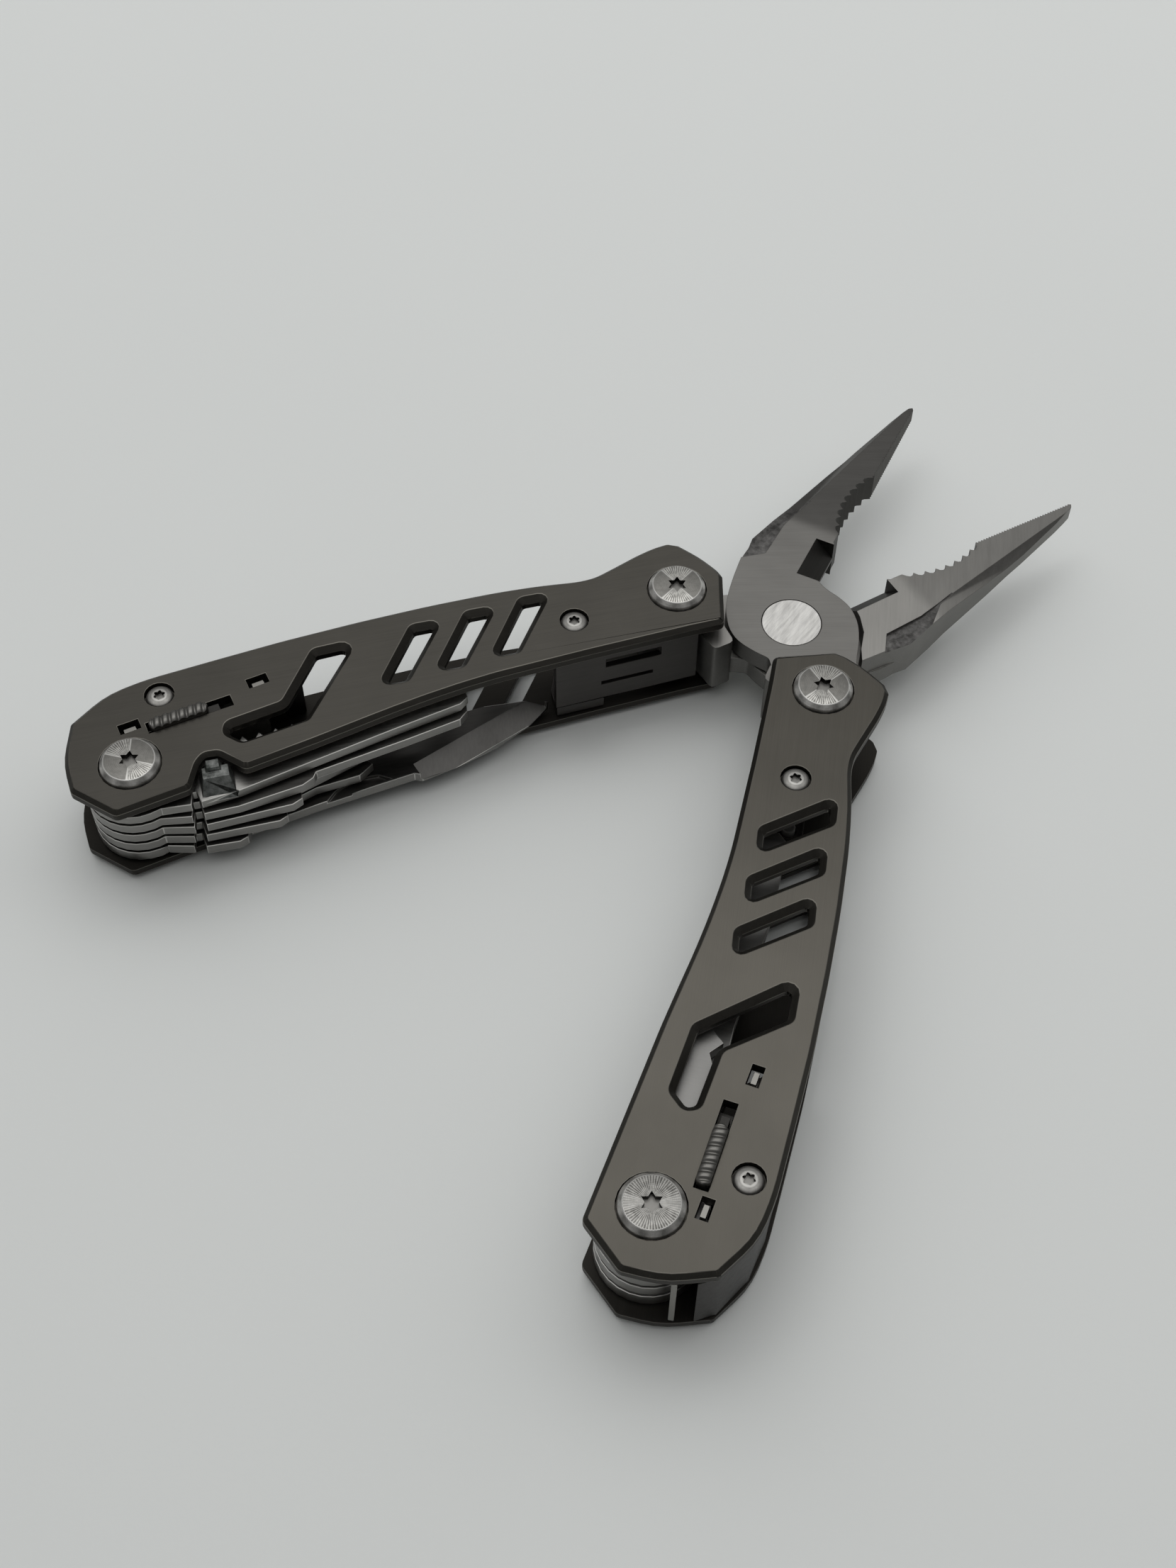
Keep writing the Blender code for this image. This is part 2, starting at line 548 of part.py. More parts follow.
def jaw(model, label, upper, parent):
    """One half of the pliers. The lower half is the upper one turned over about its own length."""
    name = f"jaw_{label}"
    way = 1 if upper else -1

    def shape(points):
        out = [(x, way * y) for x, y in points]
        return out if upper else out[::-1]

    def heights(*pairs):
        return [(MID + way * height, inset) for height, inset in pairs]

    nose = half_nose()
    tang = TANG_PIVOT[label]
    body = model.solid(name, shape(nose), heights((-HEAD_HALF, 0.0), (HEAD_HALF, 0.0)), parent)
    hub = shape(soft_outline(HUB))
    model.join(body, name + "_hub", hub, heights((LAP, 0.0), (HEAD_HALF, 0.0)))
    block = shape(smooth_corners(TANG_BLOCK, 0.8))
    model.join(body, name + "_block", block,
               heights((-BOSS_HALF + 1.9, 0.0), (BOSS_HALF - 0.9, 0.0)))
    boss = shape(circle(tang, BOSS_R, 32))
    model.join(body, name + "_boss", boss, heights((-BOSS_HALF, 0.0), (BOSS_HALF, 0.0)))
    model.cut(body, name + "_head_bore", shape(circle(tang, SLEEVE_HOLE_R, 24)),
              heights((-9.0, 0.0), (9.0, 0.0)))
    model.cut(body, name + "_main_bore", shape(circle((0, 0), RIVET_SHANK_R + 0.15, 24)),
              heights((-9.0, 0.0), (9.0, 0.0)))
    model.cut(body, name + "_rivet_seat", shape(circle((0, 0), RIVET_HEAD_R + 0.13, 40)),
              heights((HEAD_HALF - RIVET_HEAD_H - 0.1, 0.0), (9.0, 0.0)))
    model.cut(body, name + "_spring_seat", shape(circle((0, 0), SPRING_R[1] + 0.3, 24)),
              heights((-1.0, 0.0), (1.25, 0.0)))

    # On both faces: the taper to the tip, the slanted flank, the rough pocket and the cutter
    drop = (HEAD_HALF - TIP_HALF) / (NOSE_TIP - TAPER_START)
    for sign in (1, -1):
        tag = "up" if sign > 0 else "down"
        planes = {
            "taper": ((60.0, -2.0, HEAD_HALF - drop * 40.0), (20.0, -2.0, HEAD_HALF),
                      (20.0, 14.0, HEAD_HALF), (42.0, 16.0)),
            "cutter": ((10.2, 3.35, HEAD_HALF), (18.8, 3.35, HEAD_HALF),
                       (18.8, 0.1, 0.3), (8.6, 12.0)),
        }
        for part, (first, second, third, size) in planes.items():
            block = slant(model, f"{name}_{part}_{tag}", parent, way, sign,
                          Vector(first), Vector(second), Vector(third), size)
            model.change(body, block)
        model.change(body, twisted_flank(model, f"{name}_flank_{tag}", parent, way, sign, drop))
        model.cut(body, f"{name}_pocket_{tag}", shape(POCKET),
                  heights((sign * (HEAD_HALF - POCKET_DEPTH), 0.0), (sign * 9.0, 0.0)))
    model.paint(body, SATIN, 0.33)


def twisted_flank(model, name, parent, way, sign, drop):
    """A cutter whose lower face twists from a shallow slope by the pocket to a steep tip."""
    tip = HEAD_HALF - drop * (60.0 - TAPER_START)
    sections = (
        ((19.6, 9.3, HEAD_HALF), (19.6, 13.3, HEAD_HALF - 0.8)),
        ((60.0, 0.6, tip), (60.0, 3.6, tip - 2.6)),
    )
    bm = bmesh.new()
    for inner, outer in sections:
        for x, y, z in (inner, outer, (inner[0], inner[1], 9.0), (outer[0], outer[1], 9.0)):
            bm.verts.new((x * MM, way * y * MM, (MID + way * sign * z) * MM))
    bmesh.ops.convex_hull(bm, input=bm.verts[:])
    return model.link(name, closed_mesh(name, bm), parent, True)


def slant(model, name, parent, way, sign, first, second, third, size):
    """A block whose lower face is the plane through three points, starting at the second point."""
    along = (first - second).normalized()
    across = third - second
    across = (across - along * across.dot(along)).normalized()
    normal = along.cross(across)
    if normal.z < 0:
        normal = -normal
    bm = bmesh.new()
    bmesh.ops.create_cube(bm, size=1.0)
    length, width = size
    for vert in bm.verts:
        a = (vert.co.x + 0.5) * length
        b = (vert.co.y + 0.5) * (width + 3.0) - 0.5
        c = (vert.co.z + 0.5) * 9.0
        point = second + along * a + across * b + normal * c
        vert.co = Vector((point.x * MM, way * point.y * MM, (MID + way * sign * point.z) * MM))
    return model.link(name, closed_mesh(name, bm), parent, True)


def rivet(model, parent):
    """The flush main rivet, and the spring ring that opens the jaws."""
    low = MID - HEAD_HALF
    high = MID + HEAD_HALF
    body = model.solid("main_rivet", circle((0, 0), RIVET_HEAD_R, 40),
                       [(high - RIVET_HEAD_H, 0.0), (high - 0.1, 0.0), (high, 0.1)], parent)
    model.join(body, "main_rivet_shank", circle((0, 0), RIVET_SHANK_R, 24),
               [(low + 0.5, 0.0), (high - 0.5, 0.0)])
    model.join(body, "main_rivet_foot", circle((0, 0), RIVET_HEAD_R, 40),
               [(low + RIVET_HEAD_H, 0.0), (low, 0.0)])
    model.paint(body, BRIGHT, 0.4)
    outer = [p for p in circle((0, 0), SPRING_R[1], 24)][:22]
    inner = [p for p in circle((0, 0), SPRING_R[0], 24)][:22]
    ring = model.solid("jaw_spring", outer + inner[::-1],
                       [(MID - 0.8, 0.0), (MID + 0.8, 0.0)], parent)
    model.paint(ring, SATIN, 0.4)


def tool(model, label, name, low, high, outline, side, parent, colour=BLADE, cuts=()):
    """One folding tool: a round tang on the tail pivot, joined to the tool's own outline."""
    body = model.solid(f"{label}_{name}", placed(outline, side, TAIL_PIVOT),
                       [(low, 0.0), (high, 0.0)], parent)
    tang = placed(circle(TAIL_PIVOT, TANG_R, 28), side, TAIL_PIVOT)
    model.join(body, body.name + "_tang", tang, [(low, 0.0), (high, 0.0)])
    hole = placed(circle(TAIL_PIVOT, TOOL_HOLE_R, 16), side, TAIL_PIVOT)
    model.cut(body, body.name + "_hole", hole, [(low - 1.0, 0.0), (high + 1.0, 0.0)])
    for i, (points, bottom, top) in enumerate(cuts):
        model.cut(body, f"{body.name}_cut{i + 1}", placed(points, side, TAIL_PIVOT),
                  [(bottom, 0.0), (top, 0.0)])
    model.paint(body, colour, 0.3)
    return body


def bevelled_edge(model, body, side, start, end, inward, drop, depth, top, tag):
    """Grinds a sloping bevel along the edge from start to end, from the upper face downwards."""
    a = Vector((start[0] - TAIL_PIVOT[0], side * (start[1] - TAIL_PIVOT[1]), 0.0))
    b = Vector((end[0] - TAIL_PIVOT[0], side * (end[1] - TAIL_PIVOT[1]), 0.0))
    along = (b - a).normalized()
    across = Vector((inward[0], side * inward[1], 0.0))
    across = (across - along * across.dot(along)).normalized()
    edge = a - across * 0.6 + Vector((0, 0, top - drop - 0.6 * drop / depth))
    slope = (across * depth + Vector((0, 0, drop))).normalized()
    normal = Vector((0, 0, 1)) - slope * slope.z
    normal.normalize()
    bm = bmesh.new()
    bmesh.ops.create_cube(bm, size=1.0)
    for vert in bm.verts:
        point = (
            edge
            + along * ((vert.co.x + 0.5) * ((b - a).length + 0.4) - 0.2)
            + slope * ((vert.co.y + 0.5) * (depth + 3.0))
            + normal * ((vert.co.z + 0.5) * 6.0)
        )
        vert.co = point * MM
    model.change(body, model.link(tag, closed_mesh(tag, bm), body.parent, True))


def left_tools(model, side, axes):
    """Saw with a thumb lug, flat driver, awl, can opener and knife, from the top down."""
    teeth = []
    for i in range(11):
        x = 56.0 - 2.6 * i
        teeth += [(x, -10.2 + 0.075 * (56.0 - x)), (x - 1.3, -8.2 + 0.075 * (56.0 - x))]
    saw = [(69.0, -19.0), (63.9, -19.4), (63.5, -17.2), (62.9, -17.2), (62.4, -19.2), (56.5, -18.4)]
    saw += [(45.0, -15.6), (32.0, -12.4), (20.6, -9.8), (19.2, -8.6), (20.0, -5.6), (26.5, -5.2)]
    saw += teeth[::-1] + [(60.0, -8.6), (68.0, -7.2)]
    body = tool(model, "left", "saw", 12.4, 14.4, saw, side, axes["saw"])
    lug = [(61.6, -18.6), (57.5, -18.0), (57.5, -15.2), (58.9, -14.0), (60.3, -13.9), (61.2, -15.2)]
    model.join(body, "left_saw_lug", placed(lug, side, TAIL_PIVOT),
               [(13.5, 0.0), (16.6, 0.0), (17.1, 0.5)])
    driver = [(69.0, -19.2), (64.2, -19.9), (63.8, -17.4), (62.8, -17.4), (62.4, -19.8)]
    driver += [(57.0, -19.6), (47.0, -17.9), (45.2, -16.9), (44.6, -15.9), (30.0, -13.0)]
    driver += [(21.0, -11.0), (19.6, -9.6), (19.4, -7.6), (22.0, -6.6), (44.0, -9.6), (66.0, -7.0)]
    tool(model, "left", "driver", 10.0, 12.05, driver, side, axes["driver"])
    awl = [(69.0, -19.2), (64.2, -20.2), (63.8, -17.6), (62.8, -17.6), (62.4, -20.2)]
    awl += [(49.0, -19.4), (47.4, -18.6), (47.4, -16.4), (38.0, -13.0), (27.5, -8.6)]
    awl += [(40.0, -9.2), (50.0, -9.6), (66.0, -7.0)]
    tool(model, "left", "awl", 7.6, 9.65, awl, side, axes["awl"])
    opener = [(69.0, -19.2), (64.6, -20.2), (64.2, -17.8), (63.2, -17.8), (62.8, -20.4)]
    opener += [(51.4, -20.3), (50.1, -19.6), (50.1, -17.2), (45.0, -15.4), (38.0, -14.6)]
    opener += [(35.6, -12.8), (37.4, -10.6), (40.2, -11.2), (41.0, -13.0), (42.4, -12.0)]
    opener += [(41.6, -8.6), (48.0, -8.0), (66.0, -7.0)]
    tool(model, "left", "can_opener", 5.2, 7.25, opener, side, axes["can_opener"])
    knife = [(69.0, -19.3), (65.0, -20.3), (64.6, -18.2), (63.6, -18.2), (63.2, -20.8)]
    knife += [(58.0, -21.0), (56.7, -20.4), (56.0, -18.9), (43.7, -16.6), (29.4, -14.4)]
    knife += [(28.2, -14.9), (22.0, -13.4), (15.0, -11.0), (9.6, -8.2), (5.6, -5.2), (9.0, -4.2)]
    knife += [(16.0, -3.8), (30.0, -5.4), (46.0, -7.8), (66.0, -7.0)]
    nick = [(44.0, -16.9), (33.2, -14.6), (35.0, -13.4), (38.6, -13.4), (42.0, -14.8)]
    body = tool(model, "left", "knife", 2.65, 4.85, knife, side, axes["knife"],
                cuts=((nick, 4.25, 6.0),))
    bevelled_edge(model, body, side, (28.0, -15.3), (6.0, -6.0), (0.0, 1.0), 1.5, 3.0, 4.85,
                  "left_knife_grind")


def right_tools(model, side, axes):
    """Bottle opener, file, serrated blade and cross driver, from the top down."""
    root = [(68.0, -17.0), (65.4, -15.3), (61.4, -15.4), (60.4, -16.2), (60.0, -18.0)]
    opener = root + [(56.0, -16.9), (47.5, -14.6), (43.6, -11.0)]
    opener += [(42.6, -7.4), (44.6, -5.6), (46.4, -7.4), (48.6, -6.6), (47.6, -4.6), (45.0, -3.6)]
    opener += [(46.4, -1.9), (50.0, -3.2), (58.0, -5.6), (66.0, -7.4)]
    tool(model, "right", "bottle_opener", 11.9, 14.4, opener, side, axes["bottle_opener"])
    file = root + [(45.0, -14.4), (30.0, -10.8), (15.0, -7.9), (8.0, -6.6)]
    file += [(6.2, -5.4), (5.9, -1.4), (7.6, 0.0), (20.0, -0.8), (40.0, -4.4), (66.0, -7.0)]
    tool(model, "right", "file", 8.9, 11.4, file, side, axes["file"])
    blade = root + [(45.0, -14.6)]
    for i in range(8):
        x = 42.0 - 3.2 * i
        y = -13.9 + 0.235 * (42.0 - x)
        blade += [(x, y), (x - 1.6, y + 1.3)]
    blade += [(14.0, -7.0), (7.0, -2.9), (14.0, -1.4), (30.0, -3.2), (48.0, -6.2), (66.0, -7.0)]
    body = tool(model, "right", "serrated_blade", 5.9, 8.4, blade, side, axes["serrated_blade"])
    bevelled_edge(model, body, side, (44.0, -15.2), (12.0, -7.4), (0.0, 1.0), 1.9, 3.4, 8.4,
                  "right_blade_grind")
    cross = root + [(50.0, -15.8), (46.0, -13.0), (28.0, -9.4)]
    cross += [(25.5, -7.8), (25.8, -6.6), (28.6, -6.0), (46.0, -9.0), (66.0, -7.0)]
    tool(model, "right", "cross_driver", 2.65, 5.4, cross, side, axes["cross_driver"])


def main():
    model = Model()
    tools = {
        "left": ("saw", "driver", "awl", "can_opener", "knife"),
        "right": ("bottle_opener", "file", "serrated_blade", "cross_driver"),
    }
    main_point = MAIN_PIVOT
    jaws = {}
    for label, upper, angle in (("a", True, JAW_A_ANGLE), ("b", False, JAW_B_ANGLE)):
        jaws[label] = model.axis(f"axis_jaw_{label}", main_point, angle)
        jaw(model, label, upper, jaws[label])
    rivet(model, jaws["b"])

    for label, side, angle, half, way in (
        ("left", -1, JAW_B_ANGLE, "b", -1),
        ("right", 1, JAW_A_ANGLE, "a", 1),
    ):
        tang = TANG_PIVOT[half]
        pivot = (tang[0], way * tang[1])
        head = turned([pivot], main_point, angle)[0]
        lean = HANDLE_ANGLE[label]
        handle = model.axis(f"axis_{label}_handle", head, lean)
        for level in ("bottom", "top"):
            scale_plate(model, label, level, side, handle)
            for spot_name, centre in zip(("head", "tail"), SMALL_SCREWS):
                small_screw(model, label, spot_name, level, centre, side, handle)
        for end, centre in (("head", HEAD_PIVOT), ("tail", TAIL_PIVOT)):
            pivot_fasteners(model, label, end, centre, side, handle)
        spine(model, label, side, handle)
        liner(model, label, side, handle)
        guide_bar(model, label, side, handle)
        lock_slider(model, label, side, handle)
        if label == "right":
            lock_leaf(model, label, side, handle)
        tail = turned(placed([TAIL_PIVOT], side, HEAD_PIVOT), head, lean)[0]
        axes = {name: model.axis(f"axis_{label}_{name}", tail, lean) for name in tools[label]}
        (left_tools if label == "left" else right_tools)(model, side, axes)


main()
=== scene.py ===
"""Looks for the multi tool: finer pieces, procedural finishes, floor, light and camera.

Lengths are in millimetres, except in the light, camera and floor settings; meshes are made in
metres. Pieces of a handle are made in that handle's frame: the head-end small screw at (0, 0),
+x towards the tail, and y turned over on the left.
"""
import json
import math

import bmesh
import bpy
from mathutils import Matrix, Vector

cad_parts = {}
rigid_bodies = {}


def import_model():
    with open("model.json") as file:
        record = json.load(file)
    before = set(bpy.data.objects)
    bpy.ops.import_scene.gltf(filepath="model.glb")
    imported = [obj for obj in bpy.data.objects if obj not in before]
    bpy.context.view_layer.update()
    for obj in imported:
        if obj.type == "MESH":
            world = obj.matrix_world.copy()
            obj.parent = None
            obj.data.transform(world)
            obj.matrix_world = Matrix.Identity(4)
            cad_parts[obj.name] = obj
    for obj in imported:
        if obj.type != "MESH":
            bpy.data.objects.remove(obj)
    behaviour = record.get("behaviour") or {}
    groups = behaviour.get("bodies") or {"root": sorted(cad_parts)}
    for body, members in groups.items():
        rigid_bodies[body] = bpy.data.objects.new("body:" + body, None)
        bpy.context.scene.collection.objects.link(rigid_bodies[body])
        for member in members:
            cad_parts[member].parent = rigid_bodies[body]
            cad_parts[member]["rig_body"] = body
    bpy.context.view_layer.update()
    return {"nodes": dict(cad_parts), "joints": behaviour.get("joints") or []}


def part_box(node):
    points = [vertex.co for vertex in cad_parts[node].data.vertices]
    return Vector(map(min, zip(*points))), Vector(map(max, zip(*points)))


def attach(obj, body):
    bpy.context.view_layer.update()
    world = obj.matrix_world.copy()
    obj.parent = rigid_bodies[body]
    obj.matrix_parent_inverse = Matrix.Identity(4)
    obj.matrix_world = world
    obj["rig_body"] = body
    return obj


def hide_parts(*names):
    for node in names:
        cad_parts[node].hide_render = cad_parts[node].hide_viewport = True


MM = 0.001
MID = 9.1                        # mid height of the tool
HEAD_PIVOT = (-17.6, 2.6)        # in a handle's frame
TAIL_PIVOT = (71.8, -12.2)
HEAD_SCREW = (0.0, 0.0)
TAIL_SCREW = (66.0, 0.0)
SIDES = {"left": -1, "right": 1}

# Radii and pitches of the patterns on the screw heads.
RIB_COUNT = 60.0
RING_PITCH = 0.26
FACE_RADIUS = 3.92               # where the bevel of a pivot head starts
# The painted highlight ring round a small screw's recess lies at this radius.
BUTTON_HIGHLIGHT = 1.04               # round the recess of a small screw

WALL_SHADE = 0.75                # the darkest a wall gets, as a share of its colour
BRUSH_DEPTH = 0.004
CLOUD_SCALE = 90.0
# A jaw's painted shade on its tapered nose starts and is full at these same two places.
NOSE_START, NOSE_FULL = 20.0, 22.5   # where a jaw's flat starts to taper
LEVEL = 0.9995                   # the least upward part of a level face's normal

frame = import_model()
joints = {joint["name"]: joint for joint in frame["joints"]}


# ---------------------------------------------------------------- frames of the moving pieces

def joint_point(name):
    x, y, _ = joints[name]["pos_m"]
    return Vector((x, y, 0.0))


def turn_between(start, end, local_start, local_end):
    """The angle that turns one direction in a local frame into one in the row frame."""
    world = end - start
    local = Vector(local_end) - Vector(local_start)
    return math.atan2(world.y, world.x) - math.atan2(local.y, local.x)


def handle_frame(side):
    """The matrix of a handle's frame, with y mirrored on the left by the points themselves."""
    head = joint_point(f"{side}_handle_fold")
    tail = joint_point("left_knife_open" if side == "left" else "right_file_open")
    way = SIDES[side]
    local_head = (HEAD_PIVOT[0], way * HEAD_PIVOT[1])
    local_tail = (TAIL_PIVOT[0], way * TAIL_PIVOT[1])
    angle = turn_between(head, tail, local_head, local_tail)
    turn = Matrix.Rotation(angle, 4, "Z")
    offset = turn @ Vector((local_head[0] * MM, local_head[1] * MM, 0.0))
    return Matrix.Translation(head - offset) @ turn


def jaw_frame(label):
    """The matrix of a jaw's frame: main pivot at the origin, +x towards the tip."""
    main = joint_point("jaw_close")
    low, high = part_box(f"jaw_{label}")
    tip = Vector((high.x, high.y, 0.0))
    angle = math.atan2(tip.y - main.y, tip.x - main.x)
    return Matrix.Translation(main) @ Matrix.Rotation(angle, 4, "Z")


FRAMES = {side: handle_frame(side) for side in SIDES}
FRAMES["a"] = jaw_frame("a")
FRAMES["b"] = jaw_frame("b")


# ---------------------------------------------------------------- node materials

class Finish:
    """A procedural material, built from the piece's own coordinates."""

    def __init__(self, name, metallic=1.0):
        self.material = bpy.data.materials.new(name)
        self.material.use_nodes = True
        self.nodes = self.material.node_tree.nodes
        self.links = self.material.node_tree.links
        self.shader = self.nodes["Principled BSDF"]
        self.shader.inputs["Metallic"].default_value = metallic
        self.place = self.add("ShaderNodeAttribute", attribute_name="own").outputs["Vector"]
        self.facing = self.add("ShaderNodeTexCoord").outputs["Normal"]
        self.height = None

    def add(self, kind, **values):
        """A new node with these properties."""
        node = self.nodes.new(kind)
        for key, value in values.items():
            setattr(node, key, value)
        return node

    def join(self, output, socket):
        self.links.new(output, socket)

    def mapped(self, scale, turn=0.0):
        """The piece's coordinates, turned about z by degrees and then stretched."""
        spin = self.add("ShaderNodeMapping")
        spin.inputs["Rotation"].default_value = (0.0, 0.0, math.radians(turn))
        self.join(self.place, spin.inputs["Vector"])
        stretch = self.add("ShaderNodeMapping")
        stretch.inputs["Scale"].default_value = scale
        self.join(spin.outputs["Vector"], stretch.inputs["Vector"])
        return stretch.outputs["Vector"]

    def noise(self, scale, detail=3.0, turn=0.0, roughness=0.55):
        node = self.add("ShaderNodeTexNoise")
        node.inputs["Scale"].default_value = 1.0
        node.inputs["Detail"].default_value = detail
        node.inputs["Roughness"].default_value = roughness
        self.join(self.mapped(scale, turn), node.inputs["Vector"])
        return node.outputs["Fac"]

    def remap(self, value, low, high, new_low=0.0, new_high=1.0, smooth=False):
        """A range of values brought to a new range, and held at its ends."""
        node = self.add("ShaderNodeMapRange")
        node.interpolation_type = "SMOOTHSTEP" if smooth else "LINEAR"
        node.inputs["From Min"].default_value = low
        node.inputs["From Max"].default_value = high
        node.inputs["To Min"].default_value = new_low
        node.inputs["To Max"].default_value = new_high
        self.join(value, node.inputs["Value"])
        return node.outputs["Result"]

    def maths(self, operation, first, second=None):
        """The result of a sum on outputs or plain numbers."""
        node = self.add("ShaderNodeMath", operation=operation)
        for socket, value in zip(node.inputs, (first, second)):
            if value is None:
                continue
            if isinstance(value, (int, float)):
                socket.default_value = value
            else:
                self.join(value, socket)
        return node.outputs["Value"]

    def colour(self, factor, first, second):
        """A mix of two colours, or of a colour output and a colour."""
        node = self.add("ShaderNodeMix", data_type="RGBA")
        self.join(factor, node.inputs["Factor"])
        for socket, value in ((node.inputs[6], first), (node.inputs[7], second)):
            if isinstance(value, tuple):
                socket.default_value = (*value, 1.0)
            else:
                self.join(value, socket)
        return node.outputs[2]

    def split(self, vector):
        node = self.add("ShaderNodeSeparateXYZ")
        self.join(vector, node.inputs["Vector"])
        return node.outputs

    def polar(self, centre=(0.0, 0.0)):
        """The angle and the radius, in metres, about a point of the piece."""
        x, y, _ = self.split(self.place)
        dx = self.maths("SUBTRACT", x, centre[0] * MM)
        dy = self.maths("SUBTRACT", y, centre[1] * MM)
        angle = self.maths("ARCTAN2", dy, dx)
        square = self.maths("ADD", self.maths("MULTIPLY", dx, dx), self.maths("MULTIPLY", dy, dy))
        return angle, self.maths("SQRT", square)

    def along(self, colour, stops):
        """The colour, scaled along x as painted light and shade; stops are (millimetres, gain).
        """
        first, last = stops[0][0], stops[-1][0]
        share = self.remap(self.split(self.place)[0], first * MM, last * MM)
        ramp = self.add("ShaderNodeValToRGB")
        elements = ramp.color_ramp.elements
        for count, (x, gain) in enumerate(stops):
            if 0 < count < len(stops) - 1:
                element = elements.new((x - first) / (last - first))
            else:
                element = elements[0] if count == 0 else elements[-1]
            element.color = (gain, gain, gain, 1.0)
        self.join(share, ramp.inputs["Fac"])
        node = self.add("ShaderNodeMix", data_type="RGBA", blend_type="MULTIPLY")
        node.inputs["Factor"].default_value = 1.0
        self.join(colour, node.inputs[6])
        self.join(ramp.outputs["Color"], node.inputs[7])
        return node.outputs[2]

    def flatness(self, low=0.80, high=0.97):
        """1 on faces that look straight up or down, 0 on walls and chamfers."""
        z = self.split(self.facing)[2]
        return self.remap(self.maths("ABSOLUTE", z), low, high, smooth=True)

    def raise_by(self, height, depth):
        """Adds a relief, depth in millimetres, on top of those before it."""
        node = self.add("ShaderNodeBump")
        node.inputs["Strength"].default_value = 1.0
        node.inputs["Distance"].default_value = depth * MM
        self.join(height, node.inputs["Height"])
        if self.height is not None:
            self.join(self.height, node.inputs["Normal"])
        self.height = node.outputs["Normal"]

    def done(self, colour, roughness):
        """Joins colour, roughness and relief to the shader, and gives the material."""
        self.join(colour, self.shader.inputs["Base Color"])
        self.join(roughness, self.shader.inputs["Roughness"])
        if self.height is not None:
            self.join(self.height, self.shader.inputs["Normal"])
        return self.material


def scaled(gain, colour):
    return tuple(gain * channel for channel in colour)


def brushed(name, light, dark, edge, rough, turn=0.0, pitch=(120.0, 5200.0), edge_rough=0.5,
            nose=None, slope=None, soft=0.0, stops=None):
    """Satin metal with streaks along x, slow cloudy variation, and another colour on the walls.

    pitch is the fineness of the streaks along and across, turn their angle in degrees, nose is
    the painted shade that darkens a jaw from where it starts to taper, slope the colour of
    chamfers, soft the radius that sharp edges are shaded with, and stops the painted light along
    x.
    """
    finish = Finish(name)
    if soft:
        rounded = finish.add("ShaderNodeBevel", samples=4)
        rounded.inputs["Radius"].default_value = soft * MM
        finish.height = rounded.outputs["Normal"]
    along, across = pitch
    fine = finish.noise((along, across, across), 4.0, turn)
    broad = finish.noise((along * 0.35, across * 0.22, across * 0.22), 2.0, turn)
    cloud = finish.noise((CLOUD_SCALE, CLOUD_SCALE, CLOUD_SCALE), 3.0)
    streak = finish.maths("ADD", finish.maths("MULTIPLY", fine, 0.6),
                          finish.maths("MULTIPLY", broad, 0.4))
    tone = finish.maths("ADD", finish.maths("MULTIPLY", streak, 0.65),
                        finish.maths("MULTIPLY", cloud, 0.35))
    tone = finish.remap(tone, 0.34, 0.66)
    flat = finish.flatness()
    top = finish.colour(tone, dark, light)
    # Painted shade: a jaw is darker from where its nose starts to taper.
    if nose is not None:
        x = finish.split(finish.place)[0]
        share = finish.remap(x, NOSE_START * MM, NOSE_FULL * MM, smooth=True)
        shaded = finish.colour(tone, scaled(nose, dark), scaled(nose, light))
        top = finish.colour(share, top, shaded)
    # Walls and chamfers get another colour; on the plates it is painted shade, darker than the
    # top.
    wall = finish.colour(tone, scaled(WALL_SHADE, edge), edge)
    if slope is not None:
        sloping = finish.flatness(0.35, 0.55)
        chamfer = finish.colour(tone, scaled(WALL_SHADE, slope), slope)
        wall = finish.colour(sloping, wall, chamfer)
    colour = finish.colour(flat, wall, top)
    # Painted light and shade: the stops make the colour lighter or darker along x.
    if stops:
        colour = finish.along(colour, stops)
    roughness = finish.remap(streak, 0.3, 0.7, rough - 0.06, rough + 0.07)
    wall_rough = finish.remap(streak, 0.3, 0.7, edge_rough - 0.05, edge_rough + 0.05)
    node = finish.add("ShaderNodeMix", data_type="FLOAT")
    finish.join(flat, node.inputs["Factor"])
    finish.join(wall_rough, node.inputs[2])
    finish.join(roughness, node.inputs[3])
    finish.raise_by(streak, BRUSH_DEPTH)
    return finish.done(colour, node.outputs[0])


